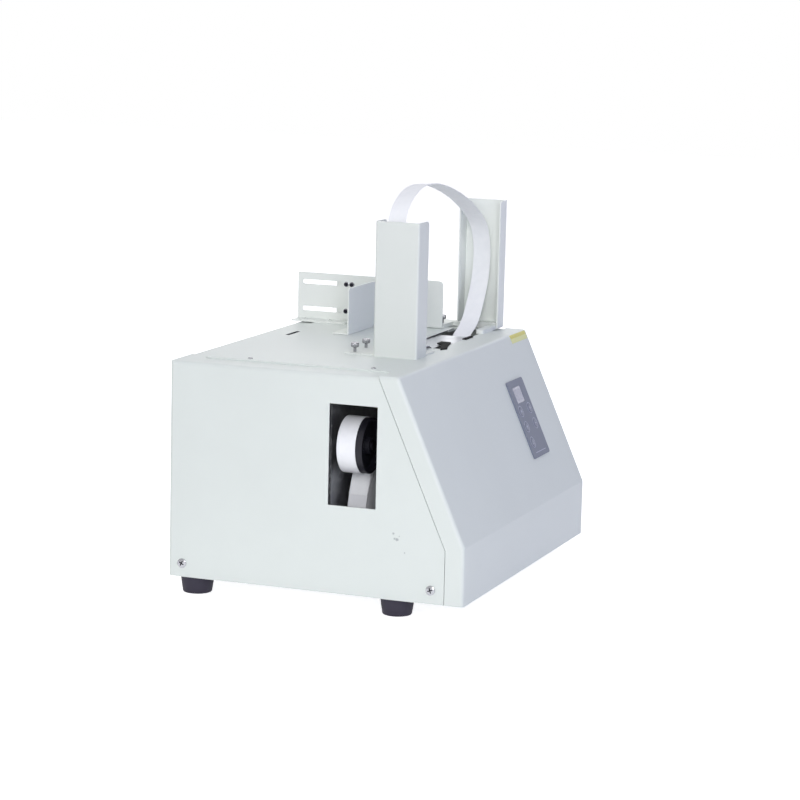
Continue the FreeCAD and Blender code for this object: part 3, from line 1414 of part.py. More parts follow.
def head_drive():
    plate_out = head_out + dims.head_plate_thick
    gear_x = plate_out + dims.collar_wide
    shaft_start = on_table(dims.head_left) - dims.collar_wide
    shaft_end = gear_x + dims.gear_wide + 1
    core = cylinder("cam_core", dims.cam_shaft, shaft_end - shaft_start, shaft_start,
                    tape_middle, cam_z, "X")
    cams = [cam_blank(number, (left + right) / 2)
            for number, (left, right) in enumerate(press_spans(), start=1)]
    node("camshaft", fused("camshaft", core, *cams))
    gear_teeth, pinion_teeth = SIZES["gear_teeth"], SIZES["pinion_teeth"]
    node("camshaft_gear", gear_blank("camshaft_gear", gear_teeth, dims.cam_shaft + dims.running_gap / 4,
                                     gear_x, tape_middle, cam_z, 0))
    bushes = []
    bore = dims.cam_shaft + dims.running_gap
    for number, (face, angle) in enumerate(((on_table(dims.head_left), 90), (plate_out, -90)), start=1):
        body = turned(f"camshaft_bush_{number}", [
            (bore, -dims.collar_wide + 0.3),
            (dims.bush_flange, -dims.collar_wide + 0.3),
            (dims.bush_flange, size_of(0)),
            (dims.bush_round - dims.running_gap / 2, size_of(0)),
            (dims.bush_round - dims.running_gap / 2, dims.head_plate_thick),
            (bore, dims.head_plate_thick),
        ])
        bushes.append(place(body, face, tape_middle, cam_z, Vector(0, 1, 0), angle))
    node("camshaft_bushes", grouped("camshaft_bushes", *bushes))
    depth = dims.shaft_depth
    motor_bore = dims.motor_shaft + dims.running_gap
    motor = turned("cam_motor", [
        (size_of(0), -dims.cam_motor_long),
        (dims.cam_motor_round * 0.5, -dims.cam_motor_long),
        (dims.cam_motor_round, -dims.cam_motor_long + 2),
        (dims.cam_motor_round, size_of(0)),
        (motor_bore, size_of(0)),
        (motor_bore, -depth - 1),
        (size_of(0), -depth - 1),
    ])
    node("cam_motor", place(motor, head_out, motor_y, cam_z, Vector(0, 1, 0), 90))
    pinion_shaft = cylinder("pinion_shaft", dims.motor_shaft, gear_x + dims.gear_wide - head_out + depth,
                            head_out - depth, motor_y, cam_z, "X")
    pinion_gear = gear_blank("pinion_gear", pinion_teeth, None, gear_x, motor_y, cam_z,
                             180 + 180 / pinion_teeth)
    node("motor_pinion", fused("motor_pinion", pinion_shaft, pinion_gear))


def anvil_plate():
    """Steel plate that the presses push against. It slides to the rear to let the sealed strap go."""
    body = new_body("anvil_plate")
    gap = dims.anvil_side_gap
    bar = (back(dims.anvil_bar_back), back(dims.anvil_bar_back + dims.anvil_bar_deep))
    front = back(dims.anvil_front)
    step_x, shoulder_x = on_table(dims.anvil_step), on_table(dims.anvil_shoulder)
    reach_x = head_out + dims.anvil_reach
    pad(body, "XY", anvil_low, anvil_high, [
        (on_table(dims.anvil_left), back(dims.anvil_step_back)),
        (step_x, back(dims.anvil_step_back)),
        (step_x, back(dims.anvil_notch_back)),
        (shoulder_x, back(dims.anvil_notch_back)),
        (shoulder_x, front),
        (reach_x, front),
        (reach_x, back(dims.anvil_reach_back)),
        (head_out - gap, back(dims.anvil_reach_back)),
        (head_out - gap, bar[1]),
        (head_in + gap, bar[1]),
        (head_in + gap, bar[0]),
        (on_table(dims.anvil_left), bar[0]),
    ])

    def front_corner(edge):
        return edge.BoundBox.ZLength > 1 and near(middle(edge).y, front)

    round_off(body, dims.base_corner, front_corner)
    return node("anvil_plate", body)


def anvil_rails():
    """Two runners on the end plates that carry the anvil's bar."""
    high = anvil_low - dims.fit_gap
    span_y = (back(dims.anvil_front), back(dims.head_front + dims.head_plate_deep))
    rails = [box(f"anvil_rail_{number}", span_x, span_y, (high - dims.rail_high, high))
             for number, span_x in enumerate(((head_in, head_in + dims.rail_wide),
                                              (head_out - dims.rail_wide, head_out)), start=1)]
    return node("anvil_rails", grouped("anvil_rails", *rails))


def tape_blocks():
    """Two low black blocks on the front edge of the opening: a lever for the tape's end and a short bar."""
    low, high = up(table_top), up(table_top + dims.block_high)
    wide = dims.block_wide
    corner_x, corner_y = on_table(dims.head_open_left), back(dims.head_open_front)
    lever = new_body("tape_block_1")
    pad(lever, "XY", low, high, [
        (corner_x - wide, corner_y - wide / 2),
        (corner_x, corner_y - wide),
        (corner_x + wide * 1.5, corner_y - wide / 2),
        (corner_x + wide * 5, corner_y + wide / 3),
        (corner_x + wide * 5.2, corner_y + wide * 1.6),
        (corner_x + wide * 3.6, corner_y + wide * 1.6),
        (corner_x + wide * 3, corner_y + wide * 0.8),
        (corner_x + wide, corner_y + wide * 0.3),
    ])
    bar = new_body("tape_block_2")
    bar_x = on_table(dims.bar_across)
    pad(bar, "XY", low, high,
        rectangle(bar_x, bar_x + dims.bar_long, corner_y - dims.bar_wide, corner_y + dims.bar_wide / 2))
    return node("tape_blocks", grouped("tape_blocks", lever, bar))


# ---------------------------------------------------------------- control panel on the slanted front

slope_sin = slant_run / slant_long
slope_cos = slant_rise / slant_long


def on_slope(feature, x, along, proud):
    """Set a feature on the slanted front: own X to the right, own Y up the slope, own Z straight out."""
    y = along * slope_sin - proud * slope_cos
    z = dims.knee_high + along * slope_cos + proud * slope_sin
    return place(feature, across(x), back(y), up(z), Vector(1, 0, 0), slant_angle)


def slope_box(name, x, along, proud):
    feature = doc.addObject("Part::Box", name)
    for side, (low, high) in zip(("Length", "Width", "Height"), (x, along, proud)):
        feature.setExpression(side, (high - low).text)
    return on_slope(feature, x[0], along[0], proud[0])


def slope_cylinder(name, radius, x, along, proud):
    feature = doc.addObject("Part::Cylinder", name)
    feature.setExpression("Radius", radius.text)
    feature.setExpression("Height", (proud[1] - proud[0]).text)
    return on_slope(feature, x, along, proud[0])


def key_places():
    """Three keys in the left column and two in the right, counted up the slope."""
    left = [(dims.key_left_across, dims.key_low + dims.key_pitch * row) for row in range(3)]
    right = [(dims.key_right_across, dims.key_low + dims.key_pitch * row) for row in (1, 2)]
    return left + right


def board_corners():
    margin = dims.board_margin
    xs = (dims.panel_across + margin, dims.panel_across + dims.panel_wide - margin)
    alongs = (dims.panel_low + margin, dims.panel_low + dims.panel_high - margin)
    return [(x, along) for x in xs for along in alongs]


def panel_parts():
    right = dims.panel_across + dims.panel_wide
    top = dims.panel_low + dims.panel_high
    plate = slope_box("overlay_plate", (dims.panel_across, right), (dims.panel_low, top),
                      (size_of(0), dims.panel_thick))
    normal = Vector(0, -slope_cos.value, slope_sin.value)

    def corner(edge):
        return abs(abs(edge.tangentAt(edge.FirstParameter).dot(normal)) - 1) < 0.001

    plate = rounded("overlay_round", plate, dims.panel_corner, corner)
    hole = dims.key_round + dims.key_hole_gap
    gap = dims.key_hole_gap / 2
    display_x = (dims.display_across, dims.display_across + dims.display_wide)
    display_along = (dims.display_low, dims.display_low + dims.display_high)
    through = (size_of(-1), dims.panel_thick + 1)
    tools = [slope_box("overlay_window", (display_x[0] - gap, display_x[1] + gap),
                       (display_along[0] - gap, display_along[1] + gap), through)]
    for number, (x, along) in enumerate(key_places(), start=1):
        tools.append(slope_cylinder(f"overlay_hole_{number}", hole, x, along, through))
    node("panel_overlay", cut("panel_overlay", plate, *tools))
    node("display_window", slope_box("display_window", display_x, display_along,
                                     (size_of(0), dims.panel_thick - 0.4)))
    under = -(dims.sheet + dims.fit_gap)
    tail = -(dims.sheet + dims.board_behind - dims.key_travel - dims.fit_gap)
    cap = dims.panel_thick + dims.key_lift
    for number, (x, along) in enumerate(key_places(), start=1):
        label = f"key_{number}"
        body = turned(label, [
            (size_of(0), tail),
            (dims.key_stem, tail),
            (dims.key_stem, under - dims.key_flange),
            (dims.key_round + dims.key_hole_gap * 3, under - dims.key_flange),
            (dims.key_round + dims.key_hole_gap * 3, under),
            (dims.key_round, under),
            (dims.key_round, cap - dims.key_lift / 2),
            (dims.key_round - dims.key_lift / 2, cap),
            (size_of(0), cap),
        ])
        node(label, on_slope(body, x, along, size_of(0)))
    margin = dims.stud_round * 2
    board_top = -(dims.sheet + dims.board_behind)
    node("control_board", slope_box(
        "control_board",
        (dims.panel_across + dims.board_margin - margin, right - dims.board_margin + margin),
        (dims.panel_low + dims.board_margin - margin, top - dims.board_margin + margin),
        (board_top - dims.board_thick, board_top)))


def finish_front_cover(cover):
    """Key holes in the slanted front, and studs behind it for the control board."""
    hole = dims.key_round + dims.key_hole_gap
    tools = [slope_cylinder(f"front_hole_{number}", hole, x, along, (-dims.sheet * 2, size_of(1)))
             for number, (x, along) in enumerate(key_places(), start=1)]
    pierced = cut("pierced_cover", cover, *tools)
    depth = dims.sheet + dims.board_behind
    studs = [slope_cylinder(f"board_stud_{number}", dims.stud_round, x, along, (-depth, -dims.sheet / 2))
             for number, (x, along) in enumerate(board_corners(), start=1)]
    return node("front_table_cover", fused("front_table_cover_with_studs", pierced, *studs))


# ---------------------------------------------------------------- rear fittings and electrics

rear_out = rear_face - dims.sheet


def rear_block(name, x, height, wide, high, y):
    """A box centred on a place of the rear panel, from one depth to another."""
    return box(name, (x - wide / 2, x + wide / 2), y,
               (up(height - high / 2), up(height + high / 2)))


def mains_inlet():
    """Flanged inlet with its cavity and three flat pins."""
    x, height = right_side - dims.inlet_inset, dims.inlet_up
    gap = dims.fit_gap
    flange = rear_block("inlet_flange", x, height, dims.inlet_flange_wide, dims.inlet_flange_high,
                        (rear_out, rear_out + dims.fitting_flange))
    shell = rear_block("inlet_shell", x, height, dims.inlet_wide - gap, dims.inlet_high - gap,
                       (rear_out - dims.inlet_deep, rear_out + dims.fitting_flange))
    wall = dims.sheet * 1.6
    cavity = rear_block("inlet_cavity", x, height, dims.inlet_wide - wall * 2, dims.inlet_high - wall * 2,
                        (rear_out - dims.inlet_deep + wall, rear_out + dims.fitting_flange + 1))
    hollow = cut("inlet_hollow", fused("inlet_solid", flange, shell), cavity)
    pins = [rear_block(f"inlet_pin_{number}", x + shift, height + rise, size_of(2), size_of(4),
                       (rear_out - dims.inlet_deep + wall / 2, rear_out - dims.inlet_deep / 4))
            for number, (shift, rise) in enumerate(((-6, -2), (0, 2.5), (6, -2)), start=1)]
    return node("mains_inlet", fused("mains_inlet", hollow, *pins))


def rocker_switch():
    x, height = right_side - dims.switch_inset, dims.inlet_up
    deep = dims.inlet_deep * 0.7
    gap = dims.fit_gap
    flange = rear_block("switch_flange", x, height, dims.switch_wide, dims.switch_high,
                        (rear_out, rear_out + dims.fitting_flange))
    shell = rear_block("switch_shell", x, height, dims.switch_wide - 2 - gap, dims.switch_high - 2 - gap,
                       (rear_out - deep, rear_out + dims.fitting_flange))
    cavity = rear_block("switch_cavity", x, height, dims.rocker_wide + gap * 2, dims.rocker_high + gap * 2,
                        (rear_out - deep / 2, rear_out + dims.fitting_flange + 1))
    node("rocker_switch_housing", cut("rocker_switch_housing", fused("switch_solid", flange, shell), cavity))
    rocker = new_body("rocker")
    axis_y, axis_z = rear_out, up(height)
    half = dims.rocker_high / 2
    pad(rocker, "YZ", x - dims.rocker_wide / 2, x + dims.rocker_wide / 2, [
        (axis_y - 3, axis_z - half * 0.7),
        (axis_y + 0.5, axis_z - half + 0.3),
        (axis_y + 2.4, axis_z - half + 0.6),
        (axis_y + 1.6, axis_z),
        (axis_y + 2.4, axis_z + half - 0.6),
        (axis_y + 0.5, axis_z + half - 0.3),
        (axis_y - 3, axis_z + half * 0.7),
    ])
    node("rocker", rocker)


def fuse_holder():
    long = dims.fuse_long
    body = turned("fuse_holder", [
        (size_of(0), -long),
        (dims.fuse_round * 0.7, -long),
        (dims.fuse_round * 0.7, -dims.sheet - 3),
        (dims.fuse_round - 1 - dims.running_gap, -dims.sheet - 3),
        (dims.fuse_round - 1 - dims.running_gap, size_of(0)),
        (dims.fuse_round, size_of(0)),
        (dims.fuse_round, dims.fitting_flange),
        (dims.fuse_round * 0.75, dims.fitting_flange + 0.3),
        (dims.fuse_round * 0.7, dims.fitting_flange * 2.5),
        (size_of(0), dims.fitting_flange * 2.5),
    ])
    place(body, right_side - dims.fuse_inset, rear_out, up(dims.inlet_up), Vector(1, 0, 0), -90)
    return node("fuse_holder", body)


def power_supply():
    """Vented metal box on the tray."""
    low_x = right_side - dims.supply_inset - dims.supply_wide
    low_y = rear_face - dims.supply_from_rear - dims.supply_deep
    floor = up(dims.sheet)
    wall = dims.sheet
    outer = box("supply_outer", (low_x, low_x + dims.supply_wide), (low_y, low_y + dims.supply_deep),
                (floor, floor + dims.supply_high))
    inner = box("supply_inner", (low_x + wall, low_x + dims.supply_wide - wall),
                (low_y + wall, low_y + dims.supply_deep - wall),
                (floor + wall, floor + dims.supply_high - wall))
    slots = []
    pitch = dims.vent_pitch
    for number in range(1, 8):
        start = low_y + pitch * number
        slots.append(box(f"supply_slot_{number}", (low_x + pitch, low_x + dims.supply_wide - pitch),
                         (start, start + dims.vent_high), (floor + dims.supply_high - wall - 1,
                                                           floor + dims.supply_high + 1)))
    return node("power_supply", cut("power_supply", outer, inner, *slots))


# ---------------------------------------------------------------- whole machine

def build_all():
    side_cover("left_side_cover", -1)
    side_cover("right_side_cover", 1)
    finish_front_cover(front_table_cover())
    base_tray()
    rear_panel()
    rubber_feet()
    cover_screws()
    left_post()
    right_post()
    right_post_base()
    hand_screws()
    side_guide()
    guide_screws()
    stop_plate()
    stop_clamp_plate()
    stop_bolts()
    tape_loop()
    supply_tape()
    tape_supply()
    feed_unit()
    head_plates()
    press_guide_block()
    presses()
    head_drive()
    anvil_plate()
    anvil_rails()
    tape_blocks()
    panel_parts()
    mains_inlet()
    rocker_switch()
    fuse_holder()
    power_supply()


def check_and_write():
    doc.recompute()
    for feature in doc.Objects:
        if "Invalid" in feature.State or "Error" in feature.State:
            raise RuntimeError(f"{feature.Name} failed to build")
    for label, feature in NODES.items():
        if feature.Shape.isNull() or not feature.Shape.isValid():
            raise RuntimeError(f"{label} has no valid shape")
    os.makedirs("parts", exist_ok=True)
    for label, feature in NODES.items():
        feature.Shape.exportStep(f"parts/{label}.step")
    print(len(NODES), "sub-parts written")


build_all()
check_and_write()
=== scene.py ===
# %% [markdown]
# # A banknote strapping machine
#
# The construction of this machine comes ready made: every sheet-metal part, screw and roller is a
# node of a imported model, in metres, with +Z up and the operator at -Y. This notebook dresses it. It
# gives each node its finish, adds the small pieces that metalwork leaves out, such as screw recesses,
# flutes and loose paper, and sets up a studio round it.
#
# The first cell loads the model and notes how large it is, because nothing that is added later may
# make the machine grow.

# %% Load the frame
import functools
import json
import math

import bmesh
import bpy
from mathutils import Matrix, Vector
from mathutils.bvhtree import BVHTree

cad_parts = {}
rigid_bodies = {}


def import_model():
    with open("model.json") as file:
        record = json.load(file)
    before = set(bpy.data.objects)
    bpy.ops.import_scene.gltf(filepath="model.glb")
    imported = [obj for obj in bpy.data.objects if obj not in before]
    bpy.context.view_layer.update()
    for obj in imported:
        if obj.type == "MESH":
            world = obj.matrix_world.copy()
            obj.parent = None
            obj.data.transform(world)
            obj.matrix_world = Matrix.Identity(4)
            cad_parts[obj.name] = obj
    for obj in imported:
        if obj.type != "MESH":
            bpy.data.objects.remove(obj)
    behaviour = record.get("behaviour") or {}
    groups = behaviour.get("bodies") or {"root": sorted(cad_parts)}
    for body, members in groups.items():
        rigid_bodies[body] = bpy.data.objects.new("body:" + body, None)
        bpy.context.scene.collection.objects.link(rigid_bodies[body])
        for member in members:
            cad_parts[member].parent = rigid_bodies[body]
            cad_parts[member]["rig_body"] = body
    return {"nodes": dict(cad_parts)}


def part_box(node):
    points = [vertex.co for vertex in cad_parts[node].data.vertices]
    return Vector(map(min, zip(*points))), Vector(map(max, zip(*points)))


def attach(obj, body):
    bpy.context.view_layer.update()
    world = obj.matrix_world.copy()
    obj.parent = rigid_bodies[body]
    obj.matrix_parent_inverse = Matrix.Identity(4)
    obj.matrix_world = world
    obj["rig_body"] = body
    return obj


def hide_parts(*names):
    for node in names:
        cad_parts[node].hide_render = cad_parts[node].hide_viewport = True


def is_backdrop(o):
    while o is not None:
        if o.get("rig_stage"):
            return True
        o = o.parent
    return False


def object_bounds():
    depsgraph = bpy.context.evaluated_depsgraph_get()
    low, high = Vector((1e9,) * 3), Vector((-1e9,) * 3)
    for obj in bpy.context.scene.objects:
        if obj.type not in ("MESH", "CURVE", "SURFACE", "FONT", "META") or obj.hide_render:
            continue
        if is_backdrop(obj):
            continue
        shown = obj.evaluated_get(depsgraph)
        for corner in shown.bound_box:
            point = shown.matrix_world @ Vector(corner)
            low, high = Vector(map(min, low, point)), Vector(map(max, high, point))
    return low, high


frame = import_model()
cad_bounds = [list(corner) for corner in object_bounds()]
MM = 0.001
print("nodes:", len(frame["nodes"]), "box:", [round(value, 3) for corner in cad_bounds for value in corner])

# %% [markdown]
# ## Sums in a material
#
# A procedural finish is mostly arithmetic on noise, distances and coordinates. Wiring Math nodes by
# hand hides that arithmetic, so a small class wraps a socket and lets Python's own signs add the
# nodes. Minus has its reflected form too, so that a number can stand before a wire, as in `1 - mask`.

# %% A socket that can be used in sums
class Wire:
    """A socket of a finish, used like a number."""

    def __init__(self, finish, socket):
        self.finish = finish
        self.socket = socket

    def maths(self, operation, *values, clamp=False):
        settings = {"operation": operation, "use_clamp": clamp}
        return self.finish.add("ShaderNodeMath", settings, dict(enumerate(values)))

    def __add__(self, other):
        return self.maths("ADD", self, other)

    def __sub__(self, other):
        return self.maths("SUBTRACT", self, other)

    def __rsub__(self, other):
        return self.maths("SUBTRACT", other, self)

    def __mul__(self, other):
        return self.maths("MULTIPLY", self, other)

    def __gt__(self, other):
        return self.maths("GREATER_THAN", self, other)

    def __lt__(self, other):
        return self.maths("LESS_THAN", self, other)

    def clamped(self):
        return self.maths("ADD", self, 0.0, clamp=True)

    def root(self):
        return self.maths("SQRT", self)

    def sine(self):
        return self.maths("SINE", self)


class Nodes:
    """A node tree, of a finish or of the sky, with short ways to add to it."""

    def __init__(self, tree):
        self.tree = tree

    def put(self, socket, value):
        """Give an input a plain value, or link it to a wire."""
        if isinstance(value, Wire):
            self.tree.links.new(value.socket, socket)
        elif hasattr(socket.default_value, "__len__"):
            parts = list(value)
            socket.default_value = parts + [1.0] * (len(socket.default_value) - len(parts))
        else:
            socket.default_value = value

    def add(self, kind, settings, inputs, output=0):
        """Any node: first its settings, then the values or wires of its inputs."""
        node = self.tree.nodes.new(kind)
        for name, value in settings.items():
            setattr(node, name, value)
        for name, value in inputs.items():
            self.put(node.inputs[name], value)
        return Wire(self, node.outputs[output])

    def parts(self, vector):
        """The X, Y and Z of a vector as three wires."""
        first = self.add("ShaderNodeSeparateXYZ", {}, {"Vector": vector})
        return [Wire(self, socket) for socket in first.socket.node.outputs]

    def blend(self, share, first, second):
        """A colour between two colours."""
        return self.add("ShaderNodeMix", {"data_type": "RGBA"}, {0: share, 6: first, 7: second}, 2)

    def seen(self):
        """1 for what the camera sees by itself, in a mirror or through glass, and 0 for light."""
        path = self.tree.nodes.new("ShaderNodeLightPath")
        kinds = ("Camera", "Glossy", "Transmission")
        rays = [Wire(self, path.outputs["Is " + kind + " Ray"]) for kind in kinds]
        return (rays[0] + rays[1] + rays[2]).clamped()


class Finish(Nodes):
    """A material under construction, with one shader and short ways to feed it."""

    def __init__(self, name, **constants):
        self.material = bpy.data.materials.new(name)
        self.material.use_nodes = True
        super().__init__(self.material.node_tree)
        self.shader = self.tree.nodes["Principled BSDF"]
        for socket, value in constants.items():
            self.feed(socket.replace("_", " "), value)

    def feed(self, name, value):
        self.put(self.shader.inputs[name], value)

    def place(self, scale=(1, 1, 1), centre=(0, 0, 0)):
        """Object coordinates in metres, measured from a centre and stretched."""
        spot = self.add("ShaderNodeTexCoord", {}, {}, "Object")
        shift = [-c * s for c, s in zip(centre, scale)]
        return self.add("ShaderNodeMapping", {}, {"Vector": spot, "Location": shift, "Scale": scale})

    def noise(self, size, detail=3.0, rough=0.5, stretch=(1, 1, 1), centre=(0, 0, 0)):
        """Noise from 0 to 1 whose lumps are about one size across, in metres."""
        where = self.place([factor / size for factor in stretch], centre)
        inputs = {"Vector": where, "Scale": 1.0, "Detail": detail, "Roughness": rough}
        return self.add("ShaderNodeTexNoise", {}, inputs, "Fac")

    def bump(self, height, depth, strength=1.0):
        """Relief of a height from 0 to 1 that is as deep as depth, in metres."""
        inputs = {"Height": height, "Distance": depth, "Strength": strength}
        self.feed("Normal", self.add("ShaderNodeBump", {}, inputs))


def wear(share, low, high):
    """A value between low and high, by a share from 0 to 1."""
    return share * (high - low) + low


def tint(red, green, blue):
    """A colour given as it is seen, from 0 to 255, in the linear numbers that a shader takes."""
    def linear(part):
        part = part / 255
        return part / 12.92 if part <= 0.04045 else ((part + 0.055) / 1.055) ** 2.4
    return linear(red), linear(green), linear(blue), 1.0


print("tools for finishes are ready")

# %% [markdown]
# ## Powder coat
#
# The covers, posts and plates are folded steel with a pale satin powder coat. Powder flows a little
# before it sets, so its surface has a soft orange peel about a millimetre across, and its tone
# drifts very slightly over a large panel. Both are noise: the fine one feeds the relief, the broad
# one feeds the colour and the gloss. Inside the housing, seen through the window, and on the cut
# edges and the underside of the table, the coat is painted dark as painted shade, wherever the
# coordinates say that the surface lies behind the sheet. The left side also has a few small chips
# near its front corner.

# %% Powder coat for covers and for posts
def powder_coat(name, colour, shade, painted_shade_mask=None, chipped=None):
    finish = Finish(name, Metallic=0.0, Specular_IOR_Level=0.42)
    broad = finish.noise(0.16, detail=2.0)
    cloud = finish.noise(0.03, detail=4.0)
    tone = (broad * 0.7 + cloud * 0.3 - 0.2) * 1.4
    coat = finish.blend(tone.clamped(), tint(*shade), tint(*colour))
    # Where the mask is 1, the coat is painted dark as painted shade, inside the housing and in the table's
    # cut edges.
    if painted_shade_mask is not None:
        coat = finish.blend(painted_shade_mask(finish), coat, tint(58, 56, 64))
    if chipped is not None:
        coat = finish.blend(chipped(finish), coat, tint(166, 172, 172))
    finish.feed("Base Color", coat)
    finish.feed("Roughness", wear(cloud, 0.36, 0.48))
    peel = finish.noise(0.0011, detail=1.0) * 0.75 + finish.noise(0.004, detail=1.0) * 0.25
    finish.bump(peel, 0.00006, 0.35)
    return finish.material


SHEET = 1.5 * MM
side_low, side_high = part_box("left_side_cover")


def painted_shade_behind_left_wall(finish):
    """1 on the inner faces of the left side cover, which looks out through its window, where the coat is
    painted dark as shade.
    """
    across, depth, rise = finish.parts(finish.place())
    skin = SHEET * 0.8
    return (across > side_low.x + skin) * (rise < side_high.z - skin) * (depth < side_high.y - skin)


# Each chip has a place along Y, a height and a radius. CHIP_EDGE says how crisp its rim is.
CHIPS = [(-0.0936, 0.0826, 0.0021), (-0.0912, 0.0832, 0.0015), (-0.0898, 0.0884, 0.0016),
         (-0.1022, 0.0698, 0.0011), (-0.0960, 0.0862, 0.0009)]
CHIP_EDGE = 900


def small_chips(finish):
    """A few ragged scuffs low on the left side, near its front corner, from 0 to 1."""
    across, depth, rise = finish.parts(finish.place())
    ragged = finish.noise(0.0016, detail=4.0, rough=0.7) * 0.0024
    marks = []
    for along, height, size in CHIPS:
        aside, above = depth - along, rise - height
        marks.append((size + 0.0012 - (aside * aside + above * above).root() - ragged) * CHIP_EDGE)
    whole = functools.reduce(lambda first, second: first.maths("MAXIMUM", first, second), marks)
    return whole.clamped() * (across < side_low.x + SHEET * 0.5)


COVER = (219, 225, 221)
COVER_SHADE = (212, 218, 214)
table_low, table_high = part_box("front_table_cover")


def painted_shade_under_table_skin(finish):
    """1 on the cut edges of the table's openings and on its underside, where the coat is painted dark as the
    shade in them.
    """
    across, depth, rise = finish.parts(finish.place())
    left, right = side_high.x + 0.002, -side_high.x - 0.002
    front, rear = table_low.y + 0.082, table_high.y - 0.004
    inner = (across > left) * (across < right) * (depth < rear)
    return inner * (depth > front) * (rise < table_high.z - 0.0003)


cover_coat = powder_coat("cover powder coat", COVER, COVER_SHADE)
table_coat = powder_coat("table powder coat", COVER, COVER_SHADE, painted_shade_under_table_skin)
window_coat = powder_coat("side cover powder coat", COVER, COVER_SHADE, painted_shade_behind_left_wall, small_chips)
post_coat = powder_coat("post powder coat", (219, 223, 219), (213, 218, 214))
# A lighter copy of the same pale coat for the right post and its base, the side guide and the stop, painted
# lighter to stand in for light that the lamps do not give them.
lit_guide_coat = powder_coat("guide powder coat painted lighter", (233, 237, 233), (228, 232, 228))
print("sheet", SHEET, "left wall at", round(side_low.x, 4))

# %% [markdown]
# ## Bare metals
#
# Ground steel keeps the fine parallel lines of the wheel that cut it. Stretching a noise along one
# axis draws them. Zinc plate has no lines but a faint crystal pattern, and the screws are bright
# nickel with small scuffs. Metal shows itself mostly by what it reflects, so the roughness matters
# more than the colour.

# %% Steel, zinc, nickel, aluminium and brass
def brushed(name, colour, lines, rough=(0.24, 0.42)):
    finish = Finish(name, Metallic=1.0)
    grain = finish.noise(0.0006, detail=3.0, stretch=lines)
    smear = finish.noise(0.02, detail=3.0)
    dark = tint(*[part * 0.86 for part in colour])
    finish.feed("Base Color", finish.blend(smear, dark, tint(*colour)))
    finish.feed("Roughness", wear(grain, *rough))
    finish.bump(grain, 0.00001, 0.6)
    return finish.material


def zinc_plate(name):
    finish = Finish(name, Metallic=0.9)
    where = finish.place((1 / 0.006,) * 3)
    crystal = finish.add("ShaderNodeTexVoronoi", {"feature": "F1"}, {"Vector": where, "Scale": 1.0}, "Color")
    spangle = finish.parts(crystal)[0]
    finish.feed("Base Color", finish.blend(spangle, tint(150, 152, 158), tint(172, 174, 178)))
    finish.feed("Roughness", wear(spangle, 0.34, 0.5))
    return finish.material


def plated(name, colour, rough=0.16):
    finish = Finish(name, Metallic=1.0)
    scuff = finish.noise(0.0014, detail=5.0, rough=0.7)
    finish.feed("Base Color", finish.blend(scuff, tint(*[part * 0.8 for part in colour]), tint(*colour)))
    finish.feed("Roughness", wear(scuff, rough, rough + 0.2))
    return finish.material


ALONG_X, ALONG_Y, ALONG_Z = (0.04, 1, 1), (1, 0.04, 1), (1, 1, 0.04)
ground_steel = brushed("ground steel", (206, 208, 212), ALONG_X)
anvil_steel = brushed("ground anvil steel", (206, 208, 214), ALONG_Y, (0.3, 0.46))
milled_alloy = brushed("milled aluminium", (214, 216, 218), ALONG_Z)
turned_brass = brushed("turned brass", (206, 172, 96), ALONG_X)
tray_zinc = zinc_plate("zinc plated sheet")
bright_nickel = plated("bright nickel", (182, 183, 188))
# Black oxide for the black stop bolts and roller pins, also used to paint the shade in the screw recesses.
black_oxide_and_recess_shade = plated("black oxide and painted recess shade", (52, 52, 60), rough=0.3)
print("metals ready")

# %% [markdown]
# ## Rubber, moulded plastic and enamel
#
# Moulded parts share one recipe: a base colour, a fine mould grain and a roughness that varies a
# little. Rubber feet pick up pale dust, which a broad noise lays over the dark base.

# %% Moulded parts
def moulded(name, colour, grain_depth, rough, dust=0.0, coat=0.0, gloss=0.5):
    finish = Finish(name, Coat_Weight=coat, Specular_IOR_Level=gloss)
    patch = finish.noise(0.012, detail=5.0, rough=0.65)
    grain = finish.noise(0.0007, detail=2.0)
    pale = tint(*[part + (200 - part) * dust for part in colour])
    finish.feed("Base Color", finish.blend(patch, tint(*colour), pale))
    finish.feed("Roughness", wear(patch * 0.6 + grain * 0.4, rough - 0.07, rough + 0.09))
    finish.bump(grain, grain_depth, 0.5)
    return finish.material


foot_rubber = moulded("foot rubber", (52, 49, 62), 0.00008, 0.66, dust=0.06, gloss=0.3)
roller_rubber = moulded("roller rubber", (40, 40, 42), 0.00004, 0.7, dust=0.05)
drum_plastic = moulded("drum plastic", (22, 22, 30), 0.00002, 0.5, dust=0.02, gloss=0.3)
block_plastic = moulded("black block plastic", (8, 8, 11), 0.00002, 0.7, dust=0.01, gloss=0.1)
fitting_plastic = moulded("black fitting plastic", (26, 26, 30), 0.00003, 0.42, dust=0.03)
rocker_plastic = moulded("rocker plastic", (30, 30, 34), 0.00001, 0.26, coat=0.3)
motor_enamel = moulded("motor enamel", (38, 38, 44), 0.00002, 0.36, coat=0.4)
core_board = moulded("wound core board", (176, 150, 116), 0.00006, 0.8, dust=0.1)
key_plastic = moulded("key cap plastic", (124, 129, 146), 0.00001, 0.4, dust=0.03)
board_mask = moulded("circuit board mask", (28, 86, 52), 0.00001, 0.34, coat=0.5)
print("moulded finishes ready")

# %% [markdown]
# ## Paper
#
# The strap is smooth white kraft paper. Under a lens it is felted fibre, so a noise drawn out along
# the tape gives the relief, and a second one mottles the white by a few parts in a hundred. The
# sides of the roll show the edges of its windings as fine rings, which are a wave of the distance
# from the roll's own axis.

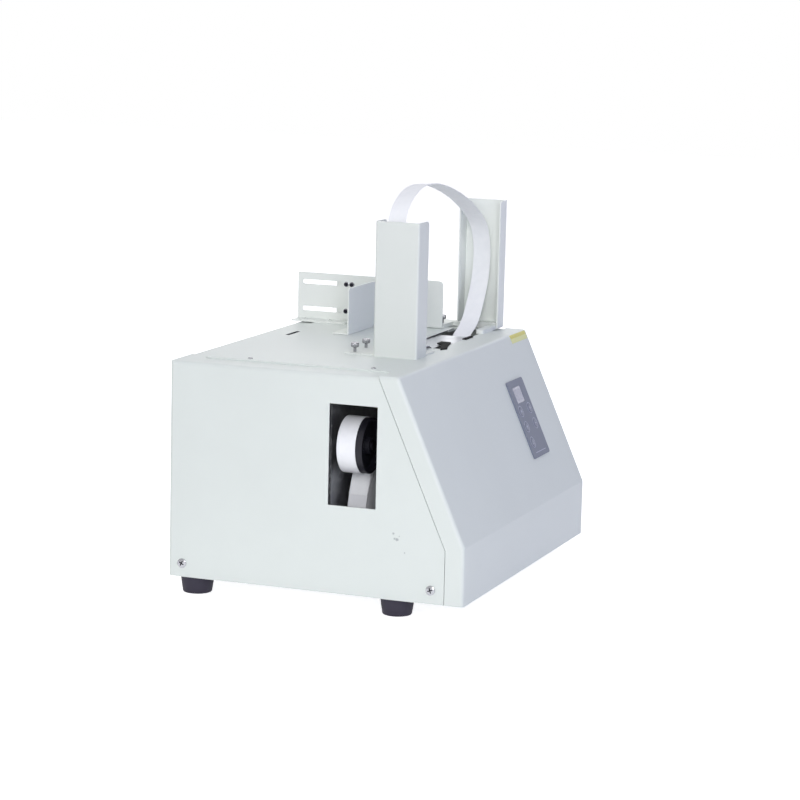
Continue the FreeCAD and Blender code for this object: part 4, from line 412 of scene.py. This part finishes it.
# %% Paper for the strap and for the roll
def paper(name, rings_about=None):
    finish = Finish(name, Specular_IOR_Level=0.3)
    fibre = finish.noise(0.0006, detail=4.0, stretch=(0.3, 1, 0.3))
    mottle = finish.noise(0.006, detail=3.0)
    white = finish.blend(mottle, tint(233, 235, 238), tint(243, 244, 246))
    if rings_about is not None:
        across, _, rise = finish.parts(finish.place(centre=rings_about))
        radius = (across * across + rise * rise).root()
        wander = finish.noise(0.01, detail=2.0) * 0.0003
        rings = ((radius + wander) * (2 * math.pi / 0.0011)).sine() * 0.5 + 0.5
        coarse = ((radius + wander) * (2 * math.pi / 0.0071)).sine() * 0.5 + 0.5
        white = finish.blend((rings * 0.5 + coarse * 0.3).clamped(), white, tint(206, 206, 214))
    finish.feed("Base Color", white)
    finish.feed("Roughness", wear(fibre, 0.55, 0.75))
    finish.bump(fibre, 0.00003, 0.4)
    return finish.material


roll_low, roll_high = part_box("tape_roll")
roll_axis = (roll_low + roll_high) / 2
strap_paper = paper("strap paper")
roll_paper = paper("roll paper", roll_axis)
print("roll axis", [round(value, 4) for value in roll_axis])

# %% [markdown]
# ## Control panel finishes
#
# The overlay is a printed film of blue grey with a fine texture, and the display window is a paler
# violet grey with a soft cloud in it and a clear coat. Nothing is written on either.

# %% Overlay film and display
def overlay_film(name):
    finish = Finish(name)
    grain = finish.noise(0.0005, detail=1.0)
    cloud = finish.noise(0.03)
    finish.feed("Base Color", finish.blend(cloud, tint(108, 114, 132), tint(120, 126, 142)))
    finish.feed("Roughness", wear(grain, 0.4, 0.55))
    finish.bump(grain, 0.00003, 0.5)
    return finish.material


def display_glass(name):
    finish = Finish(name, Coat_Weight=0.6, Coat_Roughness=0.08)
    cloud = finish.noise(0.008)
    finish.feed("Base Color", finish.blend(cloud, tint(170, 172, 186), tint(184, 186, 198)))
    finish.feed("Roughness", wear(cloud, 0.12, 0.22))
    return finish.material


film = overlay_film("overlay film")
display = display_glass("display window")
print("panel finishes ready")

# %% [markdown]
# ## A finish for every node
#
# One table says which node takes which finish. A node that is missing from it would keep the plain
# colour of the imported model, so the cell counts what is left over.

# %% Dress the nodes
FINISHES = {
    window_coat: ["left_side_cover"],
    table_coat: ["front_table_cover"],
    cover_coat: ["right_side_cover", "rear_panel"],
    post_coat: ["left_post"],
    lit_guide_coat: ["right_post", "right_post_base", "side_guide", "stop_plate", "stop_clamp_plate"],
    tray_zinc: ["base_tray", "mechanism_plate", "feed_bracket", "power_supply"],
    foot_rubber: ["rubber_feet"],
    black_oxide_and_recess_shade: ["roller_pins"],
    bright_nickel: ["pan_head_screws", "table_screws", "guide_screws", "stop_bolts",
                    "left_hand_screw_inner", "left_hand_screw_outer", "right_hand_screw_front",
                    "right_hand_screw_rear"],
    ground_steel: ["left_head_plate", "right_head_plate", "anvil_rails", "camshaft", "camshaft_gear",
                   "left_clamp", "right_clamp", "tape_chute"],
    anvil_steel: ["anvil_plate"],
    milled_alloy: ["press_guide_block", "heater_press"],
    turned_brass: ["motor_pinion", "camshaft_bushes"],
    motor_enamel: ["cam_motor", "feed_motor"],
    roller_rubber: ["feed_roller", "pinch_roller"],
    drum_plastic: ["guide_drum", "roll_hub"],
    strap_paper: ["tape_loop", "supply_tape"],
    roll_paper: ["tape_roll"],
    core_board: ["roll_core"],
    block_plastic: ["tape_blocks"],
    board_mask: ["control_board"],
    film: ["panel_overlay"],
    display: ["display_window"],
    key_plastic: ["key_1", "key_2", "key_3", "key_4", "key_5"],
    fitting_plastic: ["mains_inlet", "rocker_switch_housing", "fuse_holder"],
    rocker_plastic: ["rocker"],
}
for material, names in FINISHES.items():
    for name in names:
        mesh = frame["nodes"][name].data
        mesh.materials.clear()
        mesh.materials.append(material)
dressed = {name for names in FINISHES.values() for name in names}
print("left over:", sorted(set(frame["nodes"]) - dressed))

# %% [markdown]
# ## Reading places from the metalwork
#
# Small fasteners are made again with the detail that catches light, and each new one sits exactly
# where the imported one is. A node that holds several loose solids is split into its islands, and the
# box of each island gives a place, an axis and a size.

# %% Islands of a node, and pieces that take a node's place
def islands(name):
    """The low and high corner and the points of each loose solid of a node."""
    mesh = bmesh.new()
    mesh.from_mesh(frame["nodes"][name].data)
    bmesh.ops.remove_doubles(mesh, verts=mesh.verts, dist=1e-6)
    left, found = set(mesh.verts), []
    while left:
        edge_of_search = [left.pop()]
        points = []
        while edge_of_search:
            vert = edge_of_search.pop()
            points.append(vert.co.copy())
            for edge in vert.link_edges:
                other = edge.other_vert(vert)
                if other in left:
                    left.remove(other)
                    edge_of_search.append(other)
        low = Vector([min(point[i] for point in points) for i in range(3)])
        high = Vector([max(point[i] for point in points) for i in range(3)])
        found.append((low, high, points))
    mesh.free()
    return sorted(found, key=lambda island: tuple(island[0]))


def body_of(node):
    return frame["nodes"][node]["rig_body"]


def finished(name, mesh, material, body, sharp=35, replaced=()):
    """Turn a bmesh into a piece that rides on a body."""
    bmesh.ops.remove_doubles(mesh, verts=mesh.verts, dist=1e-7)
    bmesh.ops.recalc_face_normals(mesh, faces=mesh.faces)
    data = bpy.data.meshes.new(name)
    mesh.to_mesh(data)
    mesh.free()
    for face in data.polygons:
        face.use_smooth = True
    data.set_sharp_from_angle(angle=math.radians(sharp))
    piece = bpy.data.objects.new(name, data)
    bpy.context.scene.collection.objects.link(piece)
    materials = material if isinstance(material, (list, tuple)) else [material]
    for one in materials:
        data.materials.append(one)
    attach(piece, body)
    if replaced:
        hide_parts(*replaced)
    return piece


def gather(whole, single):
    """Move a small finished mesh into the mesh of its whole set."""
    data = bpy.data.meshes.new("one of a set")
    single.to_mesh(data)
    single.free()
    whole.from_mesh(data)
    bpy.data.meshes.remove(data)


def turned(mesh, outline, steps=32):
    """Spin an outline of radius and height pairs about Z, and give back its new points."""
    points = [mesh.verts.new((radius, 0, height)) for radius, height in outline]
    edges = [mesh.edges.new(pair) for pair in zip(points, points[1:])]
    bmesh.ops.spin(mesh, geom=points + edges, axis=(0, 0, 1), cent=(0, 0, 0),
                   angle=2 * math.pi, steps=steps, use_merge=True)
    bmesh.ops.remove_doubles(mesh, verts=mesh.verts, dist=1e-7)
    return mesh.verts[:]


def stand(mesh, verts, spot, axis=Vector((0, 0, 1))):
    """Lay points made about the Z axis along another axis and move them to a spot."""
    turn = Vector((0, 0, 1)).rotation_difference(axis).to_matrix().to_4x4()
    bmesh.ops.transform(mesh, matrix=Matrix.Translation(spot) @ turn, verts=verts)


for name in ("pan_head_screws", "table_screws", "guide_screws", "stop_bolts", "roller_pins"):
    print(name, "has", len(islands(name)), "solids")

# %% [markdown]
# ## Cross-recessed screws
#
# A pan head is a low dome with a straight rim, and its recess is a cross that narrows as it goes
# down. The head starts as a grid, whose middle row and middle column are the cross. Its corners are
# drawn in to a circle, the cross is extruded downwards and narrowed, and the outer edge is extruded
# down to the seat and then in to the shank. The recess is painted dark, as painted shade.

# %% One screw, and the sets of screws
def cross_screw(mesh, head_radius, head_height, shank_radius, length, turn=0.0):
    """A screw about Z with the seat of its head at zero."""
    marks = [-1.0, -0.82, -0.58, -0.13, 0.13, 0.58, 0.82, 1.0]
    reach = 0.6 * head_radius
    made = bmesh.ops.create_grid(mesh, x_segments=7, y_segments=7, size=3.5)
    verts = made["verts"]
    for vert in verts:
        u, v = marks[round(vert.co.x + 3.5)], marks[round(vert.co.y + 3.5)]
        x = u * math.sqrt(1 - v * v / 2)
        y = v * math.sqrt(1 - u * u / 2)
        bulge = 1 - 0.45 * (x * x + y * y) ** 1.6
        vert.co = (x * head_radius, y * head_radius, head_height * bulge)
    rim = [edge for edge in mesh.edges if edge.is_boundary and edge.verts[0] in verts]
    arms = [face for face in mesh.faces
            if face.verts[0] in verts and min(abs(face.calc_center_median().x),
                                              abs(face.calc_center_median().y)) < 0.1 * head_radius
            and face.calc_center_median().to_2d().length < reach]
    pit = bmesh.ops.extrude_face_region(mesh, geom=arms)
    floor_verts = [item for item in pit["geom"] if isinstance(item, bmesh.types.BMVert)]
    bmesh.ops.delete(mesh, geom=arms, context="FACES_ONLY")
    # The faces round the floor of the recess take the second material, which paints the shade in the recess
    # dark.
    for vert in floor_verts:
        for face in vert.link_faces:
            face.material_index = 1
        far = vert.co.to_2d().length / reach
        vert.co.x *= 0.82
        vert.co.y *= 0.82
        vert.co.z = head_height * (0.12 + 0.3 * far)
    shank = shank_radius / head_radius
    steps = [(1.0, 0.0), (shank, 0.0), (shank, head_height * 0.5 - length)]
    for factor, height in steps:
        grown = bmesh.ops.extrude_edge_only(mesh, edges=rim)
        ring = [item for item in grown["geom"] if isinstance(item, bmesh.types.BMVert)]
        rim = [item for item in grown["geom"] if isinstance(item, bmesh.types.BMEdge)]
        for vert in ring:
            flat = vert.co.to_2d().normalized() * head_radius * factor
            vert.co = (flat.x, flat.y, height)
    bmesh.ops.contextual_create(mesh, geom=rim)
    everything = mesh.verts[:]
    bmesh.ops.rotate(mesh, verts=everything, matrix=Matrix.Rotation(turn, 3, "Z"))
    return everything


# How far each screw of a set happens to be turned.
TURNS = (0.3, 1.1, 0.7, 0.0, 1.4, 0.5, 0.9, 0.2)


def off_axis(point, middle_point, axes):
    """How far a point lies from a middle along the two axes across a screw, by the larger one."""
    return max(abs(point[i] - middle_point[i]) for i in axes)


def screw_set(node, piece_name, material, swell=1.0):
    """Remake the screws of a node. The head is where an island is widest across its axis."""
    whole = bmesh.new()
    for (low, high, points), turn in zip(islands(node), TURNS * 2):
        spread = high - low
        odd = min(range(3), key=lambda i: -abs(2 * spread[i] - spread[(i + 1) % 3] - spread[(i + 2) % 3]))
        middle_point = (low + high) / 2
        across_axis = [i for i in range(3) if i != odd]
        radius = spread[across_axis[0]] / 2
        wide = [point[odd] for point in points if off_axis(point, middle_point, across_axis) > 0.9 * radius]
        head_at = sum(wide) / len(wide)
        thin = [off_axis(point, middle_point, across_axis) for point in points
                if abs(point[odd] - head_at) > 0.6 * spread[odd]]
        side = 1 if head_at > middle_point[odd] else -1
        tip = high[odd] if side > 0 else low[odd]
        seat = min(wide) if side > 0 else max(wide)
        axis = Vector([side if i == odd else 0 for i in range(3)])
        spot = middle_point.copy()
        spot[odd] = seat
        single = bmesh.new()
        verts = cross_screw(single, radius * swell, abs(tip - seat), max(thin) if thin else radius * 0.5,
                            spread[odd], turn)
        stand(single, verts, spot, axis)
        gather(whole, single)
    # The second material paints the recess dark as painted shade.
    return finished(piece_name, whole, [material, black_oxide_and_recess_shade], body_of(node), replaced=[node])


for node, material, swell in (("pan_head_screws", bright_nickel, 1.14), ("table_screws", bright_nickel, 1.0),
                              ("guide_screws", post_coat, 1.0)):
    made_piece = screw_set(node, node + "_detailed", material, swell)
    print(made_piece.name, len(made_piece.data.polygons), "faces")

# %% [markdown]
# ## Feet
#
# The rubber feet are moulded as short cones with a crisp lower rim and a hollow round the screw that
# holds them. Each is turned from one profile, a little wider than the plain foot of the construction.

# %% Tapered feet
FOOT_SWELL = 0.0024
FOOT_BACK = 0.0015


def tapered_feet(node, piece_name):
    whole = bmesh.new()
    for low, high, _ in islands(node):
        wide, tall = (high.x - low.x) / 2 + FOOT_SWELL, high.z - low.z
        outline = [(0, 0.004), (0.0045, 0.004), (0.005, 0), (wide * 0.76, 0), (wide * 0.82, 0.0003),
                   (wide * 0.85, 0.0011), (wide * 0.93, tall * 0.5), (wide, tall), (0, tall)]
        single = bmesh.new()
        verts = turned(single, outline, steps=48)
        stand(single, verts, Vector(((low.x + high.x) / 2, (low.y + high.y) / 2 + FOOT_BACK, low.z)))
        gather(whole, single)
        print("foot", [round(value, 4) for value in (*low, *high)])
    return finished(piece_name, whole, foot_rubber, body_of(node), replaced=[node])


tapered_feet("rubber_feet", "rubber_feet_tapered")

# %% [markdown]
# ## Hand screws
#
# The posts are held by small hand screws with a fluted, slightly domed knob on a thin stem, so that
# they can be loosened without a tool. The knob is turned as a profile and then fluted: every second
# row of its points round the side is pulled in a little.

# %% Fluted hand screws
FLUTES = 20
FLUTE_SHARE = 0.94
KNOB_HEIGHT = 0.0065
STEM_RADIUS = 0.0016


def hand_screw(node):
    low, high, _ = islands(node)[0]
    centre = (low + high) / 2
    radius = (high.x - low.x) / 2
    knob = [(0, 0), (0.62, -0.02), (0.86, -0.07), (0.97, -0.16), (1.0, -0.26), (1.0, -0.62), (0.97, -0.72),
            (0.86, -0.8), (0.6, -0.84), (0.42, -0.9)]
    outline = [(r * radius, high.z + z * KNOB_HEIGHT) for r, z in knob]
    outline += [(STEM_RADIUS, high.z - KNOB_HEIGHT), (STEM_RADIUS, low.z), (0, low.z)]
    mesh = bmesh.new()
    turned(mesh, outline, steps=2 * FLUTES)
    for vert in mesh.verts:
        flat = vert.co.to_2d()
        step = round(math.atan2(flat.y, flat.x) / (math.pi / FLUTES))
        on_side = -0.75 * KNOB_HEIGHT < vert.co.z - high.z < -0.1 * KNOB_HEIGHT
        if on_side and step % 2 and flat.length > radius * 0.9:
            vert.co.x *= FLUTE_SHARE
            vert.co.y *= FLUTE_SHARE
    bmesh.ops.translate(mesh, verts=mesh.verts, vec=(centre.x, centre.y, 0))
    return finished(node + "_fluted", mesh, bright_nickel, body_of(node), sharp=30, replaced=[node])


for node in ("left_hand_screw_inner", "left_hand_screw_outer", "right_hand_screw_front",
             "right_hand_screw_rear"):
    print(node, len(hand_screw(node).data.polygons), "faces")

# %% [markdown]
# ## Stop bolts
#
# The stop is clamped by socket bolts with a black finish over bright washers. Each is turned as one
# profile from the washer to the bottom of the socket, and the ring at the mouth of the socket is then
# pushed out to a hexagon.

# %% Socket bolts with washers
SOCKET_FLAT = 0.00105
HEAD_DEPTH = 0.0018


def hexagon(angle, flat):
    """How far out a hexagon reaches at an angle, when its flats lie at a distance."""
    sector = math.pi / 3
    return flat / math.cos((angle + sector / 2) % sector - sector / 2)


def socket_bolts(node, piece_name):
    whole = bmesh.new()
    for low, high, points in islands(node):
        middle_point = (low + high) / 2
        reach = max(abs(point.y - middle_point.y) for point in points if point.x < low.x + 1e-4)
        washer = high.y - middle_point.y
        seat = min(point.x for point in points if abs(point.y - middle_point.y) > washer * 0.95)
        head = seat - low.x
        outline = [(0, head * 0.3), (0.0009, head * 0.36), (0.00115, head), (reach * 0.86, head),
                   (reach, head * 0.84), (reach, 0), (washer * 0.93, 0), (washer, -0.0001),
                   (washer, -0.0006), (0.0015, -0.0006), (0.0015, seat - high.x), (0, seat - high.x)]
        single = bmesh.new()
        verts = turned(single, outline, steps=24)
        for vert in verts:
            flat = vert.co.to_2d()
            if 0.0005 < flat.length < 0.0013 and vert.co.z > 0:
                out = hexagon(math.atan2(flat.y, flat.x), SOCKET_FLAT) / flat.length
                vert.co.x *= out
                vert.co.y *= out
        stand(single, verts, Vector((seat, middle_point.y, middle_point.z)), Vector((-1, 0, 0)))
        gather(whole, single)
    seat_of_heads = min(point.x for point in islands(node)[0][2]) + HEAD_DEPTH
    for face in whole.faces:
        face.material_index = 0 if face.calc_center_median().x < seat_of_heads - 1e-5 else 1
    return finished(piece_name, whole, [black_oxide_and_recess_shade, bright_nickel], body_of(node), replaced=[node])


print(len(socket_bolts("stop_bolts", "stop_bolts_detailed").data.polygons), "faces on the stop bolts")

# %% [markdown]
# ## Paper tape
#
# The strap stands up as an arch by its own spring, and paper is never as true as steel: nothing
# guides the arch at its top, so its front edge stands a little higher there than its rear edge. The
# tape below also wanders on its wide drum, a few millimetres to the rear, and the outer windings of
# its roll have crept the same way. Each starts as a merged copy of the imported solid, whose points
# then drift by a smooth amount.

# %% The arch and the tape below it
def smooth(low, high, value):
    """0 below low, 1 above high, and an even S between them."""
    share = min(max((value - low) / (high - low), 0.0), 1.0)
    return share * share * (3 - 2 * share)


def drifting_tape(node, piece_name, drift, material):
    mesh = bmesh.new()
    mesh.from_mesh(frame["nodes"][node].data)
    bmesh.ops.remove_doubles(mesh, verts=mesh.verts, dist=1e-6)
    for vert in mesh.verts:
        vert.co += drift(vert.co)
    return finished(piece_name, mesh, material, body_of(node), sharp=30, replaced=[node])


arch_low, arch_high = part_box("tape_loop")
tape_middle = (arch_low.y + arch_high.y) / 2
TWIST = math.tan(math.radians(4.5))
DRIFT = 0.004
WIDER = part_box("supply_tape")[1].y - roll_high.y


def arch_drift(point):
    free = smooth(arch_high.z - 0.12, arch_high.z - 0.02, point.z)
    return Vector((0, 0, ((tape_middle - point.y) * TWIST - 0.0008) * free))


def drum_drift(point):
    return Vector((0, DRIFT * (1 - smooth(-0.1, -0.04, point.x)), 0))


def roll_drift(point):
    away = math.hypot(point.x - roll_axis.x, point.z - roll_axis.z)
    flange = WIDER if point.y > roll_axis.y else 0
    return Vector((0, (DRIFT + flange) * smooth(0.024, 0.056, away), 0))


for node, drift, material in (("tape_loop", arch_drift, strap_paper),
                              ("supply_tape", drum_drift, strap_paper),
                              ("tape_roll", roll_drift, roll_paper)):
    print(drifting_tape(node, node + "_paper", drift, material).name)

# %% [markdown]
# ## Marks on the control panel
#
# The overlay carries a ring round each key, a plain sign on each key and a thin rule at its lower
# edge, all printed in a pale ink. The display shows two unlit figures of seven bars. Each print is a
# very thin solid that is made flat, in panel coordinates: x across, y up the slope and z out of it.

# %% Panel prints
ink = moulded("pale panel ink", (176, 180, 200), 0.000004, 0.45)
unlit = moulded("unlit display bars", (128, 130, 152), 0.000004, 0.3)
overlay = frame["nodes"]["panel_overlay"].data
front_faces = [face for face in overlay.polygons if face.normal.y < -0.5]
slope_out = sum((face.normal * face.area for face in front_faces), Vector()).normalized()
slope_up = slope_out.cross(Vector((1, 0, 0)))
slope_turn = Matrix((Vector((1, 0, 0)), slope_up, slope_out)).transposed().to_4x4()


def top_of(node, spot=None):
    """The middle of a node's outermost face on the slope, or the place on it above a spot."""
    low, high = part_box(node)
    spot = spot or (low + high) / 2
    level = max(vert.co.dot(slope_out) for vert in frame["nodes"][node].data.vertices)
    return spot + slope_out * (level - spot.dot(slope_out))


def raised(mesh, outline, thick=0.00005):
    """A thin flat solid over an outline of x, y pairs."""
    face = mesh.faces.new([mesh.verts.new((x, y, 0)) for x, y in outline])
    grown = bmesh.ops.extrude_face_region(mesh, geom=[face])
    bmesh.ops.translate(mesh, vec=(0, 0, thick),
                        verts=[item for item in grown["geom"] if isinstance(item, bmesh.types.BMVert)])


def bar(mesh, x, y, wide, high):
    raised(mesh, [(x - wide / 2, y - high / 2), (x + wide / 2, y - high / 2),
                  (x + wide / 2, y + high / 2), (x - wide / 2, y + high / 2)])


def wedge(mesh, radius, up):
    raised(mesh, [(math.sin(turn) * radius, math.cos(turn) * radius * up)
                  for turn in (0, 2 * math.pi / 3, 4 * math.pi / 3)][::up])


def print_on(name, mesh, spot, material, body):
    bmesh.ops.transform(mesh, matrix=Matrix.Translation(spot) @ slope_turn, verts=mesh.verts)
    return finished(name, mesh, material, body, sharp=30)


SIGNS = {
    "key_1": lambda mesh: (bar(mesh, 0, 0.0011, 0.0007, 0.0026), bar(mesh, 0, -0.0016, 0.0034, 0.0007)),
    "key_2": lambda mesh: wedge(mesh, 0.0021, -1),
    "key_3": lambda mesh: wedge(mesh, 0.0021, 1),
    "key_4": lambda mesh: bar(mesh, 0, 0, 0.0038, 0.0008),
    "key_5": lambda mesh: (bar(mesh, 0, 0, 0.0038, 0.0008), bar(mesh, 0, 0.0012, 0.0008, 0.0015),
                           bar(mesh, 0, -0.0012, 0.0008, 0.0015)),
}
RING_IN, RING_OUT, RING_THICK = 0.0057, 0.0063, 0.00005
rings = bmesh.new()
panel_top = top_of("panel_overlay")
for key, sign in SIGNS.items():
    mark = bmesh.new()
    sign(mark)
    print_on(key + "_sign", mark, top_of(key), ink, body_of(key))
    ring = bmesh.new()
    turned(ring, [(RING_IN, 0), (RING_IN, RING_THICK), (RING_OUT, RING_THICK), (RING_OUT, 0), (RING_IN, 0)],
           steps=40)
    low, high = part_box(key)
    spot = slope_turn.inverted() @ (top_of("panel_overlay", (low + high) / 2) - panel_top)
    bmesh.ops.translate(ring, verts=ring.verts, vec=spot)
    gather(rings, ring)
print_on("key_rings", rings, panel_top, ink, "housing")
low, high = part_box("panel_overlay")
RULE_SHARE, RULE_HIGH, RULE_DOWN = 0.62, 0.0007, 0.0385
rule = bmesh.new()
bar(rule, 0, 0, (high.x - low.x) * RULE_SHARE, RULE_HIGH)
print_on("panel_rule", rule, panel_top - slope_up * RULE_DOWN, ink, "housing")

FIGURE_WIDE, ROW_HIGH, STROKE = 0.0052, 0.0055, 0.0009
figures = bmesh.new()
for shift in (-FIGURE_WIDE, FIGURE_WIDE):
    for row in (-1, 0, 1):
        bar(figures, shift, row * ROW_HIGH, FIGURE_WIDE, STROKE)
    for side in (-1, 1):
        for row in (-0.5, 0.5):
            bar(figures, shift + side * FIGURE_WIDE / 2, row * ROW_HIGH, STROKE, ROW_HIGH * 0.8)
print_on("display_figures", figures, top_of("display_window"), unlit, "housing")
print("panel faces", [round(value, 3) for value in slope_out])

# %% [markdown]
# ## The yellow strip
#
# A strip of printed film lies at the top right of the slanted front, just below the bend. It starts
# as a flat grid. Each of its points is dropped onto the sheet against the direction that the slope
# faces, with a search tree of the cover's own faces, and then the film gets its thickness. Its upper
# half is a deeper yellow and both halves are blank.

# %% Film laid on the slope
def strip_film(name, level):
    finish = Finish(name, Coat_Weight=0.15)
    rise = finish.parts(finish.place())[2]
    cloud = finish.noise(0.004, detail=4.0)
    deep = ((rise + cloud * 0.0006 - level) * 900).clamped()
    colour = finish.blend(deep, tint(218, 220, 146), tint(206, 197, 58))
    finish.feed("Base Color", finish.blend(cloud * 0.35, colour, tint(226, 226, 190)))
    finish.feed("Roughness", wear(cloud, 0.34, 0.5))
    return finish.material


cover = frame["nodes"]["front_table_cover"].data
skin = BVHTree.FromPolygons([vert.co for vert in cover.vertices],
                            [face.vertices[:] for face in cover.polygons])
_, cover_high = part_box("front_table_cover")
FILM_LIFT, FILM_THICK, FILM_SPLIT = 0.00012, 0.0001, 0.0046
film_left, film_right = cover_high.x - 0.0585, cover_high.x - 0.0015
film_low, film_high = cover_high.z - 0.0094, cover_high.z - 0.0006
slope_level = max(vert.co.dot(slope_out) for vert in cover.vertices)
sheet = bmesh.new()
bmesh.ops.create_grid(sheet, x_segments=12, y_segments=14, size=0.5)
for vert in sheet.verts:
    across = film_left + (vert.co.x + 0.5) * (film_right - film_left)
    rise = film_low + (vert.co.y + 0.5) * (film_high - film_low)
    on_slope = Vector((across, (slope_level - rise * slope_out.z) / slope_out.y, rise))
    spot = skin.ray_cast(on_slope + slope_out * 0.02, -slope_out)[0]
    vert.co = spot + slope_out * FILM_LIFT
grown = bmesh.ops.extrude_face_region(sheet, geom=sheet.faces[:])
for item in grown["geom"]:
    if isinstance(item, bmesh.types.BMVert):
        item.co -= slope_out * FILM_THICK
strip_finish = strip_film("yellow strip film", film_low + FILM_SPLIT)
finished("yellow_strip", sheet, strip_finish, "housing", sharp=50)
print("strip", [round(value, 4) for value in (film_left, film_right, film_low, film_high)])

# %% [markdown]
# ## The studio
#
# The machine stands on a pale floor. The key lamp hangs before its left side, so that this side is
# the brightest and the slanted front lies in shade. A large soft lamp hangs overhead, two weak ones
# fill the front and the right, and a small one low on the left stands for light that the floor throws
# back. The floor is white where nothing stands on it and still takes the machine's shadow. It is a
# diffuse surface with a little light of its own that only the camera and mirror-like surfaces see.

# %% Floor, lamps and world
FLOOR_GLOW = 0.74


def floor_finish():
    finish = Finish("studio floor")
    grain = finish.noise(0.4)
    finish.feed("Base Color", finish.blend(grain, tint(236, 236, 236), tint(240, 240, 240)))
    finish.feed("Roughness", 0.9)
    shine = {"Color": (1, 1, 1), "Strength": finish.seen() * FLOOR_GLOW}
    glow = finish.add("ShaderNodeEmission", {}, shine, "Emission")
    both = finish.add("ShaderNodeAddShader", {}, {0: Wire(finish, finish.shader.outputs[0]), 1: glow})
    finish.tree.links.new(both.socket, finish.tree.nodes["Material Output"].inputs["Surface"])
    return finish.material


floor_mesh = bmesh.new()
bmesh.ops.create_grid(floor_mesh, x_segments=8, y_segments=8, size=6.0)
floor_data = bpy.data.meshes.new("floor")
floor_mesh.to_mesh(floor_data)
floor_mesh.free()
floor = bpy.data.objects.new("floor", floor_data)
bpy.context.scene.collection.objects.link(floor)
floor.data.materials.append(floor_finish())
floor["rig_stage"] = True


def soft_lamp(name, spot, aim, size, power):
    lamp = bpy.data.lights.new(name, "AREA")
    lamp.shape = "RECTANGLE"
    lamp.size, lamp.size_y = size
    lamp.energy = power
    holder = bpy.data.objects.new(name, lamp)
    holder.location = spot
    holder.visible_camera = False
    holder.rotation_euler = (Vector(aim) - Vector(spot)).to_track_quat("-Z", "Y").to_euler()
    bpy.context.scene.collection.objects.link(holder)


MIDDLE = (0, 0, 0.2)
# Each lamp has a name, a place, what it is aimed at, a size and a power in watts.
LAMPS = [
    ("left key", (-2.5, -1.0, 1.0), MIDDLE, (1.1, 1.1), 35),
    ("overhead", (0.2, 0.4, 2.6), MIDDLE, (2.6, 2.6), 23),
    ("front fill", (-0.6, -2.8, 1.2), MIDDLE, (2.0, 1.6), 8.8),
    ("right fill", (2.6, 0.4, 1.2), MIDDLE, (2.0, 1.6), 8),
    ("low bounce", (-0.44, -0.02, 0.008), (-0.44, -0.02, 1), (0.45, 0.45), 0.16),
]
for lamp_row in LAMPS:
    soft_lamp(*lamp_row)
SKY = {"left": (0.55, 0.55, 0.55), "right": (0.4, 0.4, 0.4),
       "front": (0.0, 0.03, 0.31), "back": (0.4, 0.4, 0.4)}

world = bpy.data.worlds.new("studio")
bpy.context.scene.world = world
world.use_nodes = True
sky = Nodes(world.node_tree)
x, y, _ = sky.parts(sky.add("ShaderNodeTexCoord", {}, {}, "Generated"))
sides = {"left": (0 - x).clamped(), "right": x.clamped(),
         "front": (0 - y).clamped(), "back": y.clamped()}
light = sky.add("ShaderNodeCombineXYZ", {}, {})
for side, colour in SKY.items():
    part = sky.add("ShaderNodeVectorMath", {"operation": "SCALE"}, {0: colour, "Scale": sides[side]})
    light = sky.add("ShaderNodeVectorMath", {"operation": "ADD"}, {0: light, 1: part})
background = world.node_tree.nodes["Background"]
sky.put(background.inputs["Color"], sky.blend(sky.seen(), light, (1, 1, 1)))
bpy.context.scene.view_settings.view_transform = "Standard"
print("studio ready")

# %% [markdown]
# ## The camera
#
# A long lens from the left and a little above keeps the upright edges nearly parallel, as on a
# catalogue picture. The camera looks along a direction given by its azimuth, its height angle and a
# slight roll.

# %% Camera
AZIMUTH = math.radians(-69.42)
HEIGHT = math.radians(9.467)
ROLL = math.radians(1.378)
STAND = Vector((-2.7673, -1.0620, 0.6807))
backward = Vector((math.sin(AZIMUTH) * math.cos(HEIGHT), -math.cos(AZIMUTH) * math.cos(HEIGHT),
                   math.sin(HEIGHT)))
level = (-backward).cross(Vector((0, 0, 1))).normalized()
upward = level.cross(-backward)
right = math.cos(ROLL) * level + math.sin(ROLL) * upward
top = -math.sin(ROLL) * level + math.cos(ROLL) * upward
lens = bpy.data.cameras.new("camera")
lens.lens = 126.04
lens.sensor_width = 36
lens.shift_x = -0.00536
lens.shift_y = 0.00164
lens.clip_start = 0.1
lens.clip_end = 50
camera = bpy.data.objects.new("camera", lens)
turn = Matrix((right, top, backward)).transposed()
camera.matrix_world = Matrix.Translation(STAND) @ turn.to_4x4()
bpy.context.scene.collection.objects.link(camera)
bpy.context.scene.camera = camera
print("camera at", [round(value, 3) for value in STAND])

# %% [markdown]
# ## Finish
# The last cell prints by how much each corner of the model's box has grown, in millimetres.
# The last cell writes the model's box before and after, in metres, and hands the scene over.

# %% Sizes
final_bounds = [list(corner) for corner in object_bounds()]
growth = [(after - before) * 1000 for before, after in zip(sum(cad_bounds, []), sum(final_bounds, []))]
print("grown by", [round(value, 2) for value in growth], "mm")
